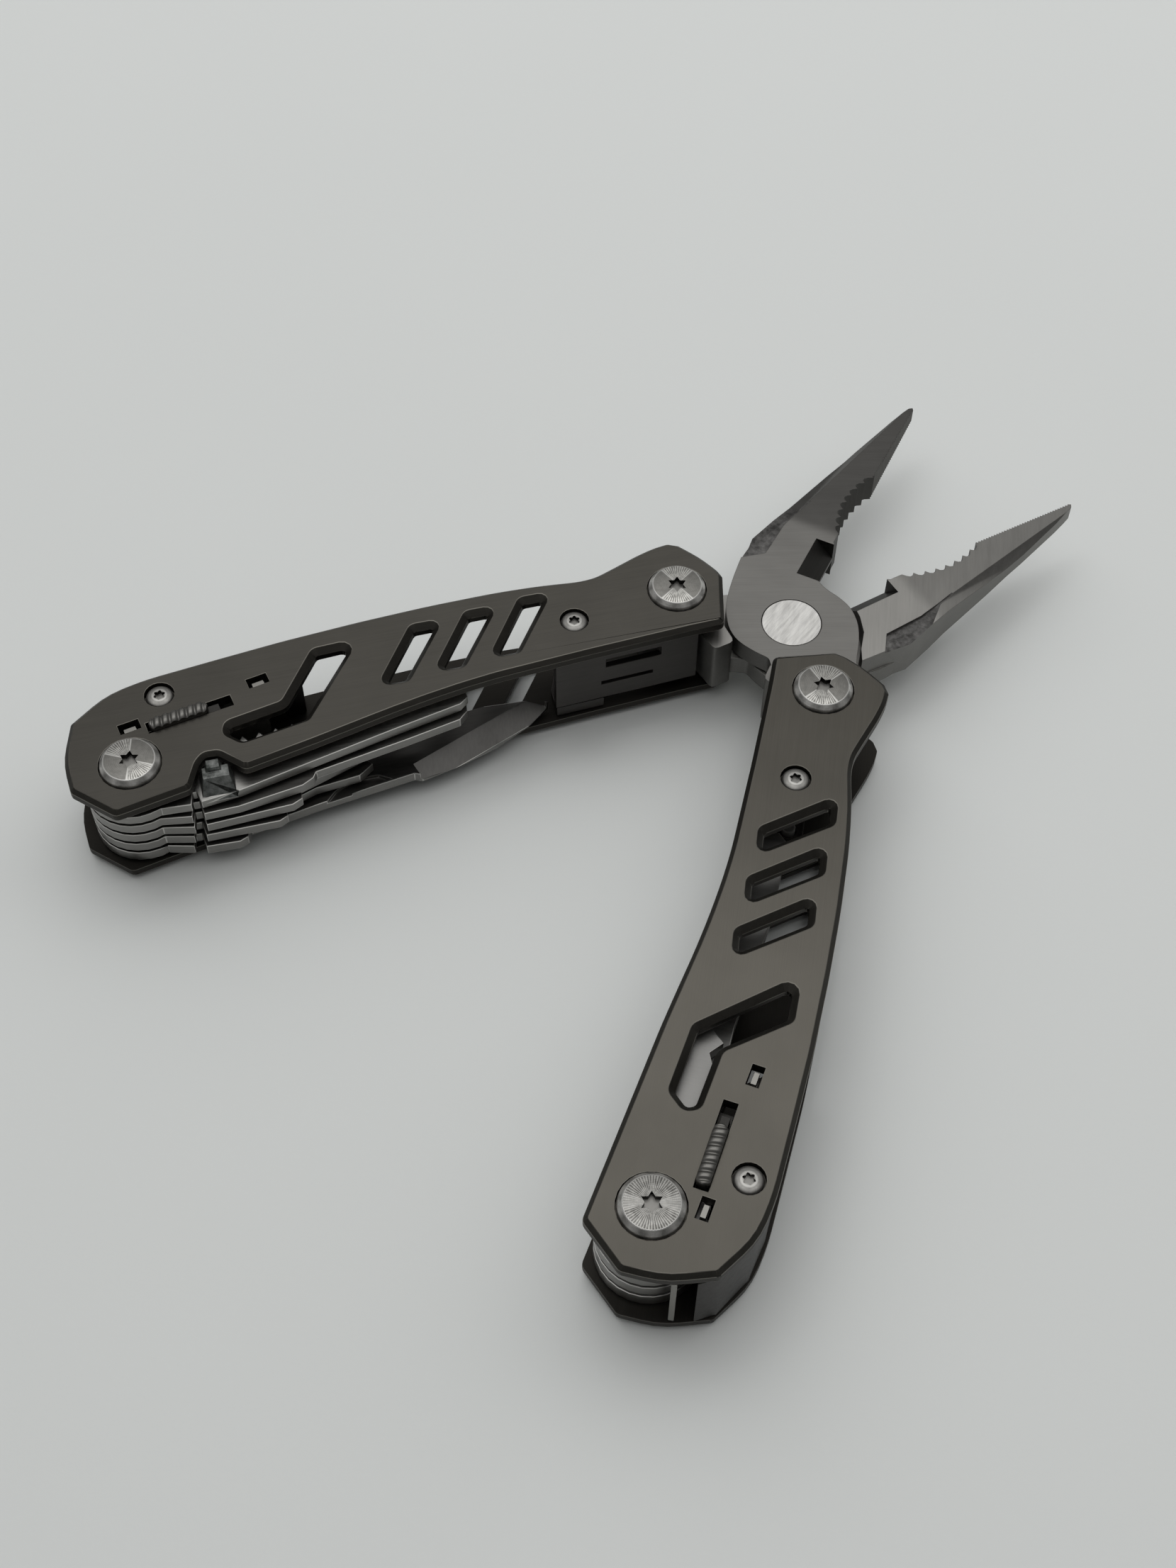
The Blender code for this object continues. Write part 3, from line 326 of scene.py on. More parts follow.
def turned_head(name, centre, fan, spread, rest, gain):
    """A turned screw head: fine rings, and two opposite rib sectors with a painted highlight.

    fan is the direction of the sectors and spread half their width, in degrees of the handle's
    frame; rest is how much of the ribs shows outside them, and gain scales the face's colours.
    """
    finish = Finish(name, metallic=0.8)
    angle, radius = finish.polar(centre)
    per_ring = 2 * math.pi / (RING_PITCH * MM)
    rings = finish.maths("SINE", finish.maths("MULTIPLY", radius, per_ring))
    ribs = finish.maths("SINE", finish.maths("MULTIPLY", angle, RIB_COUNT))
    turned = finish.maths("SUBTRACT", angle, math.radians(fan))
    away = finish.maths("ABSOLUTE", finish.maths("SINE", turned))
    limit = math.sin(math.radians(spread))
    sector = finish.remap(away, limit - 0.03, limit + 0.03, 1.0, rest, smooth=True)
    face = finish.remap(radius, (FACE_RADIUS - 0.12) * MM, (FACE_RADIUS + 0.03) * MM, 1.0, 0.0,
                        smooth=True)
    sector = finish.maths("MULTIPLY", sector, face)
    shake = finish.noise((1500.0, 1500.0, 1500.0), 4.0)
    smooth_tone = finish.remap(finish.maths("ADD", finish.maths("MULTIPLY", rings, 0.12), shake),
                               0.2, 0.8)
    rib_tone = finish.remap(finish.maths("ADD", finish.maths("MULTIPLY", ribs, 0.32), shake),
                            0.1, 0.9)
    plain = finish.colour(smooth_tone, scaled(gain, (0.205, 0.200, 0.187)),
                          scaled(gain, (0.30, 0.293, 0.274)))
    # Painted highlight: the rib sectors are much lighter than the rest, for the two opposite fans
    # of light on a turned face.
    rib_highlight = finish.colour(rib_tone, scaled(gain, (0.18, 0.176, 0.165)),
                           scaled(gain, (0.82, 0.805, 0.765)))
    colour = finish.colour(sector, plain, rib_highlight)
    # Painted highlight: a light line along the borders of the sectors.
    border_highlight = finish.maths("ABSOLUTE", finish.maths("SUBTRACT", away, limit))
    border_highlight = finish.remap(border_highlight, 0.01, 0.055, 1.0 - rest, 0.0, smooth=True)
    colour = finish.colour(border_highlight, colour, (0.74, 0.73, 0.70))
    # Painted highlight on the rim: light streaks round the bevel.
    streaks = finish.maths("SINE", finish.maths("MULTIPLY", angle, 9.0))
    streaks = finish.maths("ADD", finish.maths("MULTIPLY", streaks, 0.3), shake)
    rim_highlight = finish.colour(finish.remap(streaks, 0.15, 0.9), (0.38, 0.373, 0.355),
                        (0.92, 0.905, 0.87))
    colour = finish.colour(face, rim_highlight, colour)
    # Painted highlight: a light line where the bevel starts.
    lip_highlight = finish.maths("ABSOLUTE", finish.maths("SUBTRACT", radius, FACE_RADIUS * MM))
    lip_highlight = finish.remap(lip_highlight, 0.04 * MM, 0.14 * MM, 1.0, 0.0, smooth=True)
    colour = finish.colour(lip_highlight, colour, (0.92, 0.91, 0.88))
    rough = finish.remap(shake, 0.3, 0.7, 0.40, 0.28)
    relief = finish.maths("MULTIPLY", ribs, sector)
    relief = finish.maths("ADD", finish.maths("MULTIPLY", relief, 0.5),
                          finish.maths("MULTIPLY", rings, 0.12))
    finish.raise_by(relief, 0.014)
    tangent = finish.add("ShaderNodeTangent", direction_type="RADIAL", axis="Z")
    finish.join(tangent.outputs["Tangent"], finish.shader.inputs["Tangent"])
    finish.shader.inputs["Anisotropic"].default_value = 0.5
    return finish.done(colour, rough)


def button_head(name, centre):
    """A domed screw head: satin, with a painted highlight as a bright ring round its recess."""
    finish = Finish(name, metallic=0.85)
    _, radius = finish.polar(centre)
    shake = finish.noise((900.0, 900.0, 900.0), 4.0)
    satin = finish.colour(finish.remap(shake, 0.3, 0.7), (0.28, 0.274, 0.260),
                          (0.40, 0.391, 0.371))
    # Painted highlight: a bright ring round the recess.
    near = finish.maths("ABSOLUTE", finish.maths("SUBTRACT", radius, BUTTON_HIGHLIGHT * MM))
    ring = finish.remap(near, 0.08 * MM, 0.26 * MM, 1.0, 0.0, smooth=True)
    colour = finish.colour(ring, satin, (0.58, 0.57, 0.545))
    rough = finish.remap(shake, 0.3, 0.7, 0.38, 0.30)
    finish.raise_by(shake, 0.006)
    return finish.done(colour, rough)


def cast_zinc(name, low, high):
    """Mottled, pitted grey metal with broken bright ridges."""
    finish = Finish(name, metallic=0.85)
    cells = finish.noise((900.0, 900.0, 900.0), 5.0, 0.0, 0.7)
    cloud = finish.noise((420.0, 420.0, 420.0), 2.0)
    tone = finish.maths("ADD", finish.maths("MULTIPLY", cells, 0.6),
                        finish.maths("MULTIPLY", cloud, 0.4))
    tone = finish.remap(tone, 0.38, 0.64)
    colour = finish.colour(tone, low, high)
    rough = finish.remap(cells, 0.3, 0.7, 0.55, 0.32)
    finish.raise_by(cells, 0.10)
    return finish.done(colour, rough)


def scratched(name):
    """The face of the rivet: bright, with crossing scratches."""
    finish = Finish(name, metallic=0.45)
    first = finish.noise((200.0, 2000.0, 2000.0), 4.0, -22.0, 0.7)
    second = finish.noise((300.0, 1500.0, 1500.0), 3.0, -44.0, 0.6)
    both = finish.maths("ADD", finish.maths("MULTIPLY", first, 0.7),
                        finish.maths("MULTIPLY", second, 0.3))
    tone = finish.remap(both, 0.36, 0.62)
    colour = finish.colour(tone, (0.60, 0.59, 0.57), (0.90, 0.89, 0.86))
    rough = finish.remap(both, 0.3, 0.7, 0.52, 0.36)
    finish.raise_by(both, 0.035)
    return finish.done(colour, rough)


# The plates carry painted light: the right plate is a lighter copy of the same steel, walls and
# chamfers are darker as painted shade, and the stops make each plate lighter or darker along its
# length as painted light and shade.
PLATES = {
    "left": brushed("left_scale_painted_light", (0.150, 0.142, 0.126), (0.116, 0.110, 0.098),
                    (0.058, 0.054, 0.048), 0.40, slope=(0.095, 0.090, 0.080),
                    stops=((-25.0, 1.0), (10.0, 0.96), (45.0, 0.87), (80.0, 0.78))),
    "right": brushed("right_scale_painted_light", (0.200, 0.188, 0.164), (0.155, 0.146, 0.128),
                     (0.070, 0.065, 0.058), 0.40, slope=(0.095, 0.090, 0.080),
                     stops=((-25.0, 0.70), (0.0, 0.76), (32.0, 1.0), (55.0, 0.95), (80.0, 0.82))),
}
# Painted shade for the faces of the plates that look in towards the tools.
PLATE_INNER_SHADE = brushed("scale_inner_shade", (0.052, 0.049, 0.044), (0.034, 0.032, 0.029),
                      (0.040, 0.038, 0.034), 0.5, edge_rough=0.5)
# A painted highlight for the softened edges of the plates.
PLATE_EDGE_HIGHLIGHT = brushed("scale_edge_highlight", (0.25, 0.238, 0.212), (0.17, 0.161, 0.143),
                     (0.21, 0.20, 0.178), 0.36, edge_rough=0.36)
# The nose values are painted shade on the tapered nose of each jaw.
JAW_A = brushed("jaw_a_satin", (0.340, 0.332, 0.316), (0.270, 0.263, 0.250),
                (0.190, 0.185, 0.176), 0.40, turn=64.0, pitch=(160.0, 3600.0),
                nose=0.55, soft=0.14)
JAW_B = brushed("jaw_b_satin", (0.500, 0.488, 0.465), (0.400, 0.391, 0.372),
                (0.260, 0.254, 0.242), 0.40, turn=-52.0, pitch=(160.0, 3600.0),
                nose=0.78, soft=0.14)
JAW_ROUGH = cast_zinc("jaw_rough", (0.070, 0.068, 0.066), (0.210, 0.205, 0.200))
JAW_DARK = brushed("jaw_dark", (0.085, 0.082, 0.078), (0.055, 0.053, 0.050),
                   (0.100, 0.097, 0.092), 0.45)
FRAME = brushed("frame_satin", (0.070, 0.066, 0.062), (0.045, 0.043, 0.040),
                (0.050, 0.047, 0.044), 0.42, edge_rough=0.42)
LINER = brushed("liner_satin", (0.085, 0.080, 0.076), (0.060, 0.057, 0.054),
                (0.085, 0.080, 0.076), 0.42, edge_rough=0.42)
TOOL = brushed("tool_satin", (0.190, 0.186, 0.178), (0.125, 0.122, 0.116),
               (0.300, 0.293, 0.280), 0.36, pitch=(200.0, 3000.0), edge_rough=0.36)
# Painted light: a lighter copy of the tool steel, for the right tools.
TOOL_PAINTED_LIGHT = brushed("tool_satin_painted_light", (0.420, 0.414, 0.402), (0.300, 0.296, 0.288),
                     (0.300, 0.293, 0.280), 0.42, turn=96.0, pitch=(260.0, 2600.0),
                     edge_rough=0.36)
# A painted highlight for the softened edges of the tools.
TOOL_EDGE_HIGHLIGHT = brushed("tool_edge_highlight", (0.62, 0.61, 0.585), (0.40, 0.393, 0.376),
                    (0.62, 0.61, 0.585), 0.34, edge_rough=0.34)
TOOL_BEVEL = brushed("tool_ground", (0.185, 0.181, 0.174), (0.090, 0.088, 0.084),
                     (0.170, 0.166, 0.159), 0.38, turn=96.0, pitch=(120.0, 1800.0),
                     edge_rough=0.38)
LUG = cast_zinc("lug_zinc", (0.060, 0.066, 0.062), (0.33, 0.34, 0.33))
SLIDER = brushed("slider_worn", (0.31, 0.302, 0.284), (0.215, 0.209, 0.197),
                 (0.15, 0.146, 0.138), 0.36, turn=80.0, pitch=(500.0, 1400.0),
                 slope=(0.26, 0.254, 0.240))
PIN = brushed("pin_bright", (0.440, 0.430, 0.402), (0.330, 0.322, 0.300),
              (0.32, 0.312, 0.292), 0.36)
RIVET = scratched("rivet_scratched")
# Painted shade: the walls of a driver recess are near black, for the shade inside it.
RECESS_WALL_SHADE = brushed("recess_wall_shade", (0.030, 0.029, 0.027), (0.018, 0.017, 0.016),
                      (0.035, 0.034, 0.032), 0.5)
RECESS_FLOOR = brushed("recess_floor", (0.42, 0.41, 0.39), (0.30, 0.293, 0.278),
                       (0.10, 0.097, 0.092), 0.42, pitch=(900.0, 900.0))
# Painted shade: the knife is a darker copy of the tool steel, as it lies lower and in shade.
KNIFE_PAINTED_SHADE = brushed("knife_painted_shade", (0.120, 0.117, 0.112), (0.080, 0.078, 0.075),
                      (0.300, 0.293, 0.280), 0.40, pitch=(200.0, 3000.0), edge_rough=0.36)
# Painted light: the saw is a lighter copy of the tool steel, for the bright strip beside the lug.
SAW_PAINTED_LIGHT = brushed("saw_painted_light", (0.620, 0.610, 0.585), (0.480, 0.471, 0.450),
                    (0.320, 0.313, 0.299), 0.34, pitch=(200.0, 3000.0), edge_rough=0.36)


# ---------------------------------------------------------------- geometry

SHARP = math.radians(38.0)
BEVELLED = math.radians(30.0)
MERGED = math.radians(0.6)
SAME_PLACE = 2e-6


def is_level(face):
    return abs(face.normal.z) > LEVEL


def shade(obj, level):
    """Smooth shading that keeps sharp creases, and the rims of level faces if level is true."""
    mesh = obj.data
    for polygon in mesh.polygons:
        polygon.use_smooth = True
    bm = bmesh.new()
    bm.from_mesh(mesh)
    bm.normal_update()
    for edge in bm.edges:
        hard = len(edge.link_faces) != 2 or edge.calc_face_angle() > SHARP
        if level and not hard:
            first, second = edge.link_faces
            hard = is_level(first) != is_level(second)
        edge.smooth = not hard
    bm.to_mesh(mesh)
    bm.free()
    modifier = obj.modifiers.new("even_normals", "WEIGHTED_NORMAL")
    modifier.keep_sharp = True


def keep_own_place(mesh):
    """Stores each point's coordinates in the piece's own frame, which the finishes read."""
    own = mesh.attributes.new("own", "FLOAT_VECTOR", "POINT")
    for vertex, item in zip(mesh.vertices, own.data):
        item.vector = vertex.co


def stand_in(name, bm, matrix, body, materials, nodes, level=False):
    """Puts a mesh made in its own frame in place, rides it, and lets it stand for CAD nodes.

    level says whether the shading keeps its level faces flat up to their rims.
    """
    mesh = bpy.data.meshes.new(name)
    bm.to_mesh(mesh)
    bm.free()
    keep_own_place(mesh)
    mesh.transform(matrix)
    obj = bpy.data.objects.new(name, mesh)
    bpy.context.scene.collection.objects.link(obj)
    for material in materials:
        mesh.materials.append(material)
    shade(obj, level)
    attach(obj, body)
    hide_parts(*nodes)
    return obj


def refined(node, matrix, materials, edge, choose=None, edge_highlight=None, extra=None):
    """A copy of a CAD node with edges softened by this much, or left as they are at 0.

    choose gives the material of a face, the sixth argument the slot of the painted highlight put
    on the softened edges, and extra changes the mesh before its edges are softened.
    """
    source = frame["nodes"][node]
    bm = bmesh.new()
    bm.from_mesh(source.data)
    bmesh.ops.remove_doubles(bm, verts=bm.verts[:], dist=SAME_PLACE)
    bm.transform(matrix.inverted())
    if extra:
        bm = extra(bm)
    bmesh.ops.dissolve_limit(bm, angle_limit=MERGED, verts=bm.verts[:], edges=bm.edges[:])
    softened = {"faces": []}
    if edge:
        sharp = [e for e in bm.edges if len(e.link_faces) == 2
                 and e.calc_face_angle() > BEVELLED and e.calc_length() > 3 * edge * MM]
        softened = bmesh.ops.bevel(bm, geom=sharp, offset=edge * MM, offset_type="OFFSET",
                                   segments=2, profile=0.6, affect="EDGES", clamp_overlap=False)
    bm.normal_update()
    for face in bm.faces:
        face.material_index = choose(face.calc_center_median() / MM, face.normal) if choose else 0
    # Painted highlight: the softened edges get a lighter material, for the light line they catch.
    if edge_highlight is not None:
        for face in softened["faces"]:
            if face.material_index == 0:
                face.material_index = edge_highlight
    return stand_in(node + "_fine", bm, matrix, source["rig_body"], materials, [node],
                    level=bool(edge))


def lathe(profile, centre, way, count):
    """A closed solid turned about a vertical axis; way -1 mirrors it about mid height.

    profile goes from the axis to the axis, as pairs of a radius and a height.
    """
    bm = bmesh.new()
    rings = []
    for radius, height in profile:
        z = (height if way > 0 else 2 * MID - height) * MM
        if radius == 0:
            rings.append([bm.verts.new((centre[0] * MM, centre[1] * MM, z))])
            continue
        ring = []
        for i in range(count):
            angle = 2 * math.pi * i / count
            ring.append(bm.verts.new(((centre[0] + radius * math.cos(angle)) * MM,
                                      (centre[1] + radius * math.sin(angle)) * MM, z)))
        rings.append(ring)
    for low, high in zip(rings, rings[1:]):
        for i in range(count):
            j = (i + 1) % count
            corners = [low[i % len(low)], low[j % len(low)], high[j % len(high)],
                       high[i % len(high)]]
            bm.faces.new(list(dict.fromkeys(corners)))
    bmesh.ops.recalc_face_normals(bm, faces=bm.faces[:])
    return bm


def prism(outline, low, high):
    """A closed straight solid between two heights."""
    bm = bmesh.new()
    bottom = [bm.verts.new((x * MM, y * MM, low * MM)) for x, y in outline]
    top = [bm.verts.new((x * MM, y * MM, high * MM)) for x, y in outline]
    bm.faces.new(bottom[::-1])
    bm.faces.new(top)
    for i in range(len(outline)):
        j = (i + 1) % len(outline)
        bm.faces.new([bottom[i], bottom[j], top[j], top[i]])
    bmesh.ops.recalc_face_normals(bm, faces=bm.faces[:])
    return bm


def carved(bm, *cutters, operation="DIFFERENCE"):
    """The mesh with the cutters taken out of it, or joined to it."""
    def temporary(shape):
        mesh = bpy.data.meshes.new("temporary")
        shape.to_mesh(mesh)
        shape.free()
        obj = bpy.data.objects.new("temporary", mesh)
        bpy.context.scene.collection.objects.link(obj)
        return obj

    target = temporary(bm)
    others = [temporary(cutter) for cutter in cutters]
    for other in others:
        modifier = target.modifiers.new("carve", "BOOLEAN")
        modifier.operation = operation
        modifier.solver = "EXACT"
        modifier.object = other
    graph = bpy.context.evaluated_depsgraph_get()
    out = bmesh.new()
    out.from_mesh(target.evaluated_get(graph).to_mesh())
    for obj in [target, *others]:
        mesh = obj.data
        bpy.data.objects.remove(obj)
        bpy.data.meshes.remove(mesh)
    return out


def star_points(centre, outer, inner, turn):
    """A six-pointed star recess."""
    out = []
    for i in range(12):
        radius = inner if i % 2 else outer
        angle = math.pi * i / 6 + turn
        out.append((centre[0] + radius * math.cos(angle), centre[1] + radius * math.sin(angle)))
    return out


def lobed_points(centre, outer, inner, turn, count=60):
    """A six-lobed recess with round lobes."""
    mean = (outer + inner) / 2
    swing = (outer - inner) / 2
    out = []
    for i in range(count):
        angle = 2 * math.pi * i / count
        radius = mean + swing * math.cos(6 * (angle - turn))
        out.append((centre[0] + radius * math.cos(angle), centre[1] + radius * math.sin(angle)))
    return out


def mirrored(spot, side):
    """A place in a handle's frame, turned over on the left."""
    return (spot[0], SIDES[side] * spot[1])


def flip_height(low, high, way):
    """Two heights, mirrored about mid height if way is -1."""
    return (low, high) if way > 0 else (2 * MID - high, 2 * MID - low)


# ---------------------------------------------------------------- the fasteners

SCREW_TOP = 18.95
SLEEVE_TOP = 18.2
SHANK = [(1.45, 16.85), (1.45, 8.1), (0.0, 8.1)]
BARREL = [(2.7, 16.85), (2.7, 1.8), (1.75, 1.8), (1.75, 11.1), (0.0, 11.1)]
STAR_OUTER, STAR_INNER, STAR_DEPTH = 1.62, 0.96, 0.95
LOBE_OUTER, LOBE_INNER, LOBE_FLOOR, LOBE_TURN = 0.95, 0.66, 17.05, 0.3
ABOVE_BUTTON = 18.9
HEAD_ZONE = 7.6                  # farther from mid height than this is a head
RECESS_REACH, FLOOR_REACH = 1.6, 0.6

# How far each star recess is turned, in degrees of the row frame.
STAR_TURN = {
    ("left", "head"): 72.0, ("right", "head"): 84.0,
    ("left", "tail"): 74.0, ("right", "tail"): 72.0,
}
# Each head's sectors with radial ribs and a painted highlight: direction in the row frame, half
# width, ribs elsewhere, gain.
FANS = {
    ("left", "head"): (72.0, 39.0, 0.0, 1.15), ("right", "head"): (62.0, 40.0, 0.0, 1.0),
    ("left", "tail"): (111.0, 36.0, 0.0, 1.0), ("right", "tail"): (70.0, 78.0, 0.6, 0.72),
}


def pivot_rim(top):
    """The profile of a pivot's head below this height, with a wide bevel."""
    return [
        (0.0, top), (3.82, top), (3.90, top - 0.03), (3.96, top - 0.09), (4.47, top - 0.60),
        (4.56, top - 0.70), (4.60, top - 0.84), (4.60, 16.95), (4.53, 16.85),
    ]


def recess_faces(bm, spot):
    """Gives the walls of a driver recess a painted shade, and its floor a material of its own."""
    bm.normal_update()
    for face in bm.faces:
        centre = face.calc_center_median()
        away = math.hypot(centre.x - spot[0] * MM, centre.y - spot[1] * MM)
        outside = abs(centre.z - MID * MM) > HEAD_ZONE * MM
        face.material_index = 0
        # The walls of the recess take painted shade.
        if outside and abs(face.normal.z) < 0.3 and away < RECESS_REACH * MM:
            face.material_index = 1
        elif outside and abs(face.normal.z) > 0.9 and away < FLOOR_REACH * MM:
            face.material_index = 2
    return bm


def handle_direction(side, degrees):
    """A direction in the row frame, given in degrees of a handle's own frame."""
    return degrees - math.degrees(FRAMES[side].to_euler().z)


def pivot(side, end, centre):
    """A pivot screw and the sleeve it goes into from above, each with a turned head."""
    matrix = FRAMES[side]
    spot = mirrored(centre, side)
    direction, spread, rest, gain = FANS[side, end]
    fan = handle_direction(side, direction)
    finish = turned_head(f"{side}_{end}_turned", spot, fan, spread, rest, gain)
    tip = math.radians(handle_direction(side, STAR_TURN[side, end]))
    for way, kind, top, stem in ((1, "screw", SCREW_TOP, SHANK),
                                 (-1, "sleeve", SLEEVE_TOP, BARREL)):
        head = lathe(pivot_rim(top) + stem, spot, way, 96)
        low, high = flip_height(top - STAR_DEPTH, top + 1.0, way)
        cutter = prism(star_points(spot, STAR_OUTER, STAR_INNER, tip), low, high)
        node = f"{side}_{end}_pivot_{kind}"
        head = recess_faces(carved(head, cutter), spot)
        stand_in(node + "_fine", head, matrix, frame["nodes"][node]["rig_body"],
                 [finish, RECESS_WALL_SHADE, RECESS_FLOOR], [node])


DOME = [
    (0.0, 17.76), (1.0, 17.76), (1.10, 17.74), (1.50, 17.68), (1.80, 17.58), (2.00, 17.42),
    (2.12, 17.22), (2.15, 17.02), (2.14, 16.75), (2.08, 16.66), (1.1, 16.66), (1.1, 13.5),
    (0.0, 13.5),
]


def button_screw(side, end, centre):
    """The two small sunk screws at one place of a handle."""
    spot = mirrored(centre, side)
    finish = button_head(f"{side}_{end}_button", spot)
    for way, level in ((1, "top"), (-1, "bottom")):
        dome = lathe(DOME, spot, way, 48)
        low, high = flip_height(LOBE_FLOOR, ABOVE_BUTTON, way)
        cutter = prism(lobed_points(spot, LOBE_OUTER, LOBE_INNER, LOBE_TURN), low, high)
        node = f"{side}_screw_{end}_{level}"
        dome = recess_faces(carved(dome, cutter), spot)
        stand_in(node + "_fine", dome, FRAMES[side], frame["nodes"][node]["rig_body"],
                 [finish, RECESS_WALL_SHADE, RECESS_FLOOR], [node])


for side in SIDES:
    pivot(side, "head", HEAD_PIVOT)
    pivot(side, "tail", TAIL_PIVOT)
    button_screw(side, "head", HEAD_SCREW)
    button_screw(side, "tail", TAIL_SCREW)

RIVET_PROFILE = [
    (0.0, 12.85), (4.68, 12.85), (4.76, 12.82), (4.80, 12.75), (4.80, 11.75), (3.0, 11.75),
    (3.0, 6.45), (4.80, 6.45), (4.80, 5.45), (4.76, 5.38), (4.68, 5.35), (0.0, 5.35),
]
stand_in("main_rivet_fine", lathe(RIVET_PROFILE, (0.0, 0.0), 1, 72), FRAMES["b"],
         frame["nodes"]["main_rivet"]["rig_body"], [RIVET], ["main_rivet"])


# ---------------------------------------------------------------- the jaws

def within(low, value, high):
    return low < value < high


def jaw_face(centre, normal):
    """1 for the floor of the rough pocket, 2 for the cutter and the teeth, 0 for satin steel."""
    x, y, z = centre
    depth, off, rise = abs(z - MID), abs(y), abs(normal.z)
    pocket = within(7.0, x, 28.0) and off > 7.0 and within(3.1, depth, 3.4) and rise > 0.9
    cutter = within(10.2, x, 18.9) and off < 3.6 and depth < 3.7 and within(0.25, rise, 0.97)
    teeth = within(18.5, x, 38.0) and off < 3.2 and rise < 0.5
    if pocket:
        return 1
    return 2 if cutter or teeth else 0


for label in ("a", "b"):
    satin = JAW_A if label == "a" else JAW_B
    refined(f"jaw_{label}", FRAMES[label], [satin, JAW_ROUGH, JAW_DARK], 0.0,
            jaw_face)


# ---------------------------------------------------------------- handles and tools

CROWN_CENTRE = (63.59, -5.20)
CROWN_TURN = -10.85
CROWN_LENGTH = 9.3
CROWN_WIDTH = 2.0
CROWN_BASE = 17.95
CROWN_TOP = 19.1
CROWN_ROUND = 0.8                # length of the rounding at each end
CROWN_NARROW = 0.35              # width of the ends, as a share of the whole
SIDE_DROP, END_DROP = 0.38, 0.35
NOTCHES = 7.0
NOTCH_DEPTH = 0.32
NOTCH_LEAN = 0.22
NOTCH_SHAPE = 2.2
ABOVE_ALL = 21.0
TOOL_GAP = 0.3
PLATE_INSIDE = 6.9               # nearer to mid height than this is a plate's inner face
# Below this height the slider gets painted shade.
SLIDER_SHADE_BELOW = 17.8

# The saw's lug: what is cut away, and the lower and upper rectangles of its two steps.
LUG_CUT = [(54, 10), (64, 10), (64, 24), (54, 24)]
LUG_CUT_BASE = 14.42
LUG_BASE = (((56.8, 19.0), (62.2, 14.5)), 13.6, ((57.5, 17.0), (61.5, 14.9)), 16.95)
LUG_KNOB = (((58.3, 16.2), (61.2, 14.1)), 15.9, ((58.8, 15.7), (60.7, 14.2)), 17.75)


def plate_face(centre, normal):
    """Painted shade on the side that faces the tools."""
    return 2 if abs(centre.z - MID) < PLATE_INSIDE and abs(normal.z) > 0.9 else 0


def slider_face(centre, _):
    """Painted shade below the crown."""
    return 1 if centre.z < SLIDER_SHADE_BELOW else 0


def saw_face(centre, _):
    """The lug's own metal."""
    return 1 if centre.z > 14.45 and within(56.0, centre.x, 63.0) else 0


def ground_face(centre, normal):
    """The ground bevels of a blade."""
    return 1 if within(0.3, abs(normal.z), 0.97) and centre.x < 48.0 else 0


def crown(side):
    """The thumb bar of a slider: a rounded bar with slanting notches, like a rope."""
    bm = bmesh.new()
    along_count, across_count = 150, 12
    turn = math.radians(CROWN_TURN)
    grid = []
    for i in range(along_count + 1):
        u = CROWN_LENGTH * (i / along_count - 0.5)
        past = max(0.0, abs(u) - CROWN_LENGTH / 2 + CROWN_ROUND) / CROWN_ROUND
        half = CROWN_WIDTH / 2 * max(CROWN_NARROW, math.sqrt(max(0.0, 1 - past ** 2)))
        row = []
        for k in range(across_count + 1):
            share = 2 * k / across_count - 1
            v = half * math.sin(share * math.pi / 2)
            wave = math.cos(2 * math.pi * (u + v * NOTCH_LEAN) * NOTCHES / CROWN_LENGTH)
            notch = NOTCH_DEPTH * (0.5 + 0.5 * wave) ** NOTCH_SHAPE
            z = CROWN_TOP - SIDE_DROP * abs(v / half) ** 3 - END_DROP * past ** 2 - notch
            x = CROWN_CENTRE[0] + u * math.cos(turn) - v * math.sin(turn)
            y = CROWN_CENTRE[1] + u * math.sin(turn) + v * math.cos(turn)
            row.append((x * MM, SIDES[side] * y * MM, z * MM))
        grid.append(row)
    top = [[bm.verts.new(point) for point in row] for row in grid]
    low = [[bm.verts.new((x, y, (CROWN_BASE - 0.5) * MM)) for x, y, _ in row] for row in grid]
    for sheet in (top, low):
        for a, b in zip(sheet, sheet[1:]):
            for k in range(across_count):
                bm.faces.new([a[k], a[k + 1], b[k + 1], b[k]])
    rims = [([row[end] for row in top], [row[end] for row in low]) for end in (0, -1)]
    rims += [(top[end], low[end]) for end in (0, -1)]
    for upper, lower in rims:
        for k in range(len(upper) - 1):
            bm.faces.new([upper[k], upper[k + 1], lower[k + 1], lower[k]])
    bmesh.ops.recalc_face_normals(bm, faces=bm.faces[:])
    return bm


def crowned(side):
    """Gives what puts the rope-like crown on a slider instead of the plain one."""
    def change(bm):
        x, y = CROWN_CENTRE
        y *= SIDES[side]
        box = [(x - 9, y - 6), (x + 9, y - 6), (x + 9, y + 6), (x - 9, y + 6)]
        low = carved(bm, prism(box, CROWN_BASE - 0.1, ABOVE_ALL))
        return carved(low, crown(side), operation="UNION")
    return change


for side in SIDES:
    for level in ("top", "bottom"):
        refined(f"{side}_plate_{level}", FRAMES[side],
                [PLATES[side], PLATE_EDGE_HIGHLIGHT, PLATE_INNER_SHADE], 0.09, plate_face, edge_highlight=1)
    refined(f"{side}_spine", FRAMES[side], [FRAME], 0.15)
    refined(f"{side}_liner", FRAMES[side], [LINER], 0.12)
    refined(f"{side}_guide_bar", FRAMES[side], [PIN], 0.06)
    # The slider below its crown takes a dark material as painted shade.
    refined(f"{side}_lock_slider", FRAMES[side],
            [SLIDER, JAW_DARK], 0.04, slider_face, extra=crowned(side))
refined("right_lock_leaf", FRAMES["right"], [PIN], 0.1)


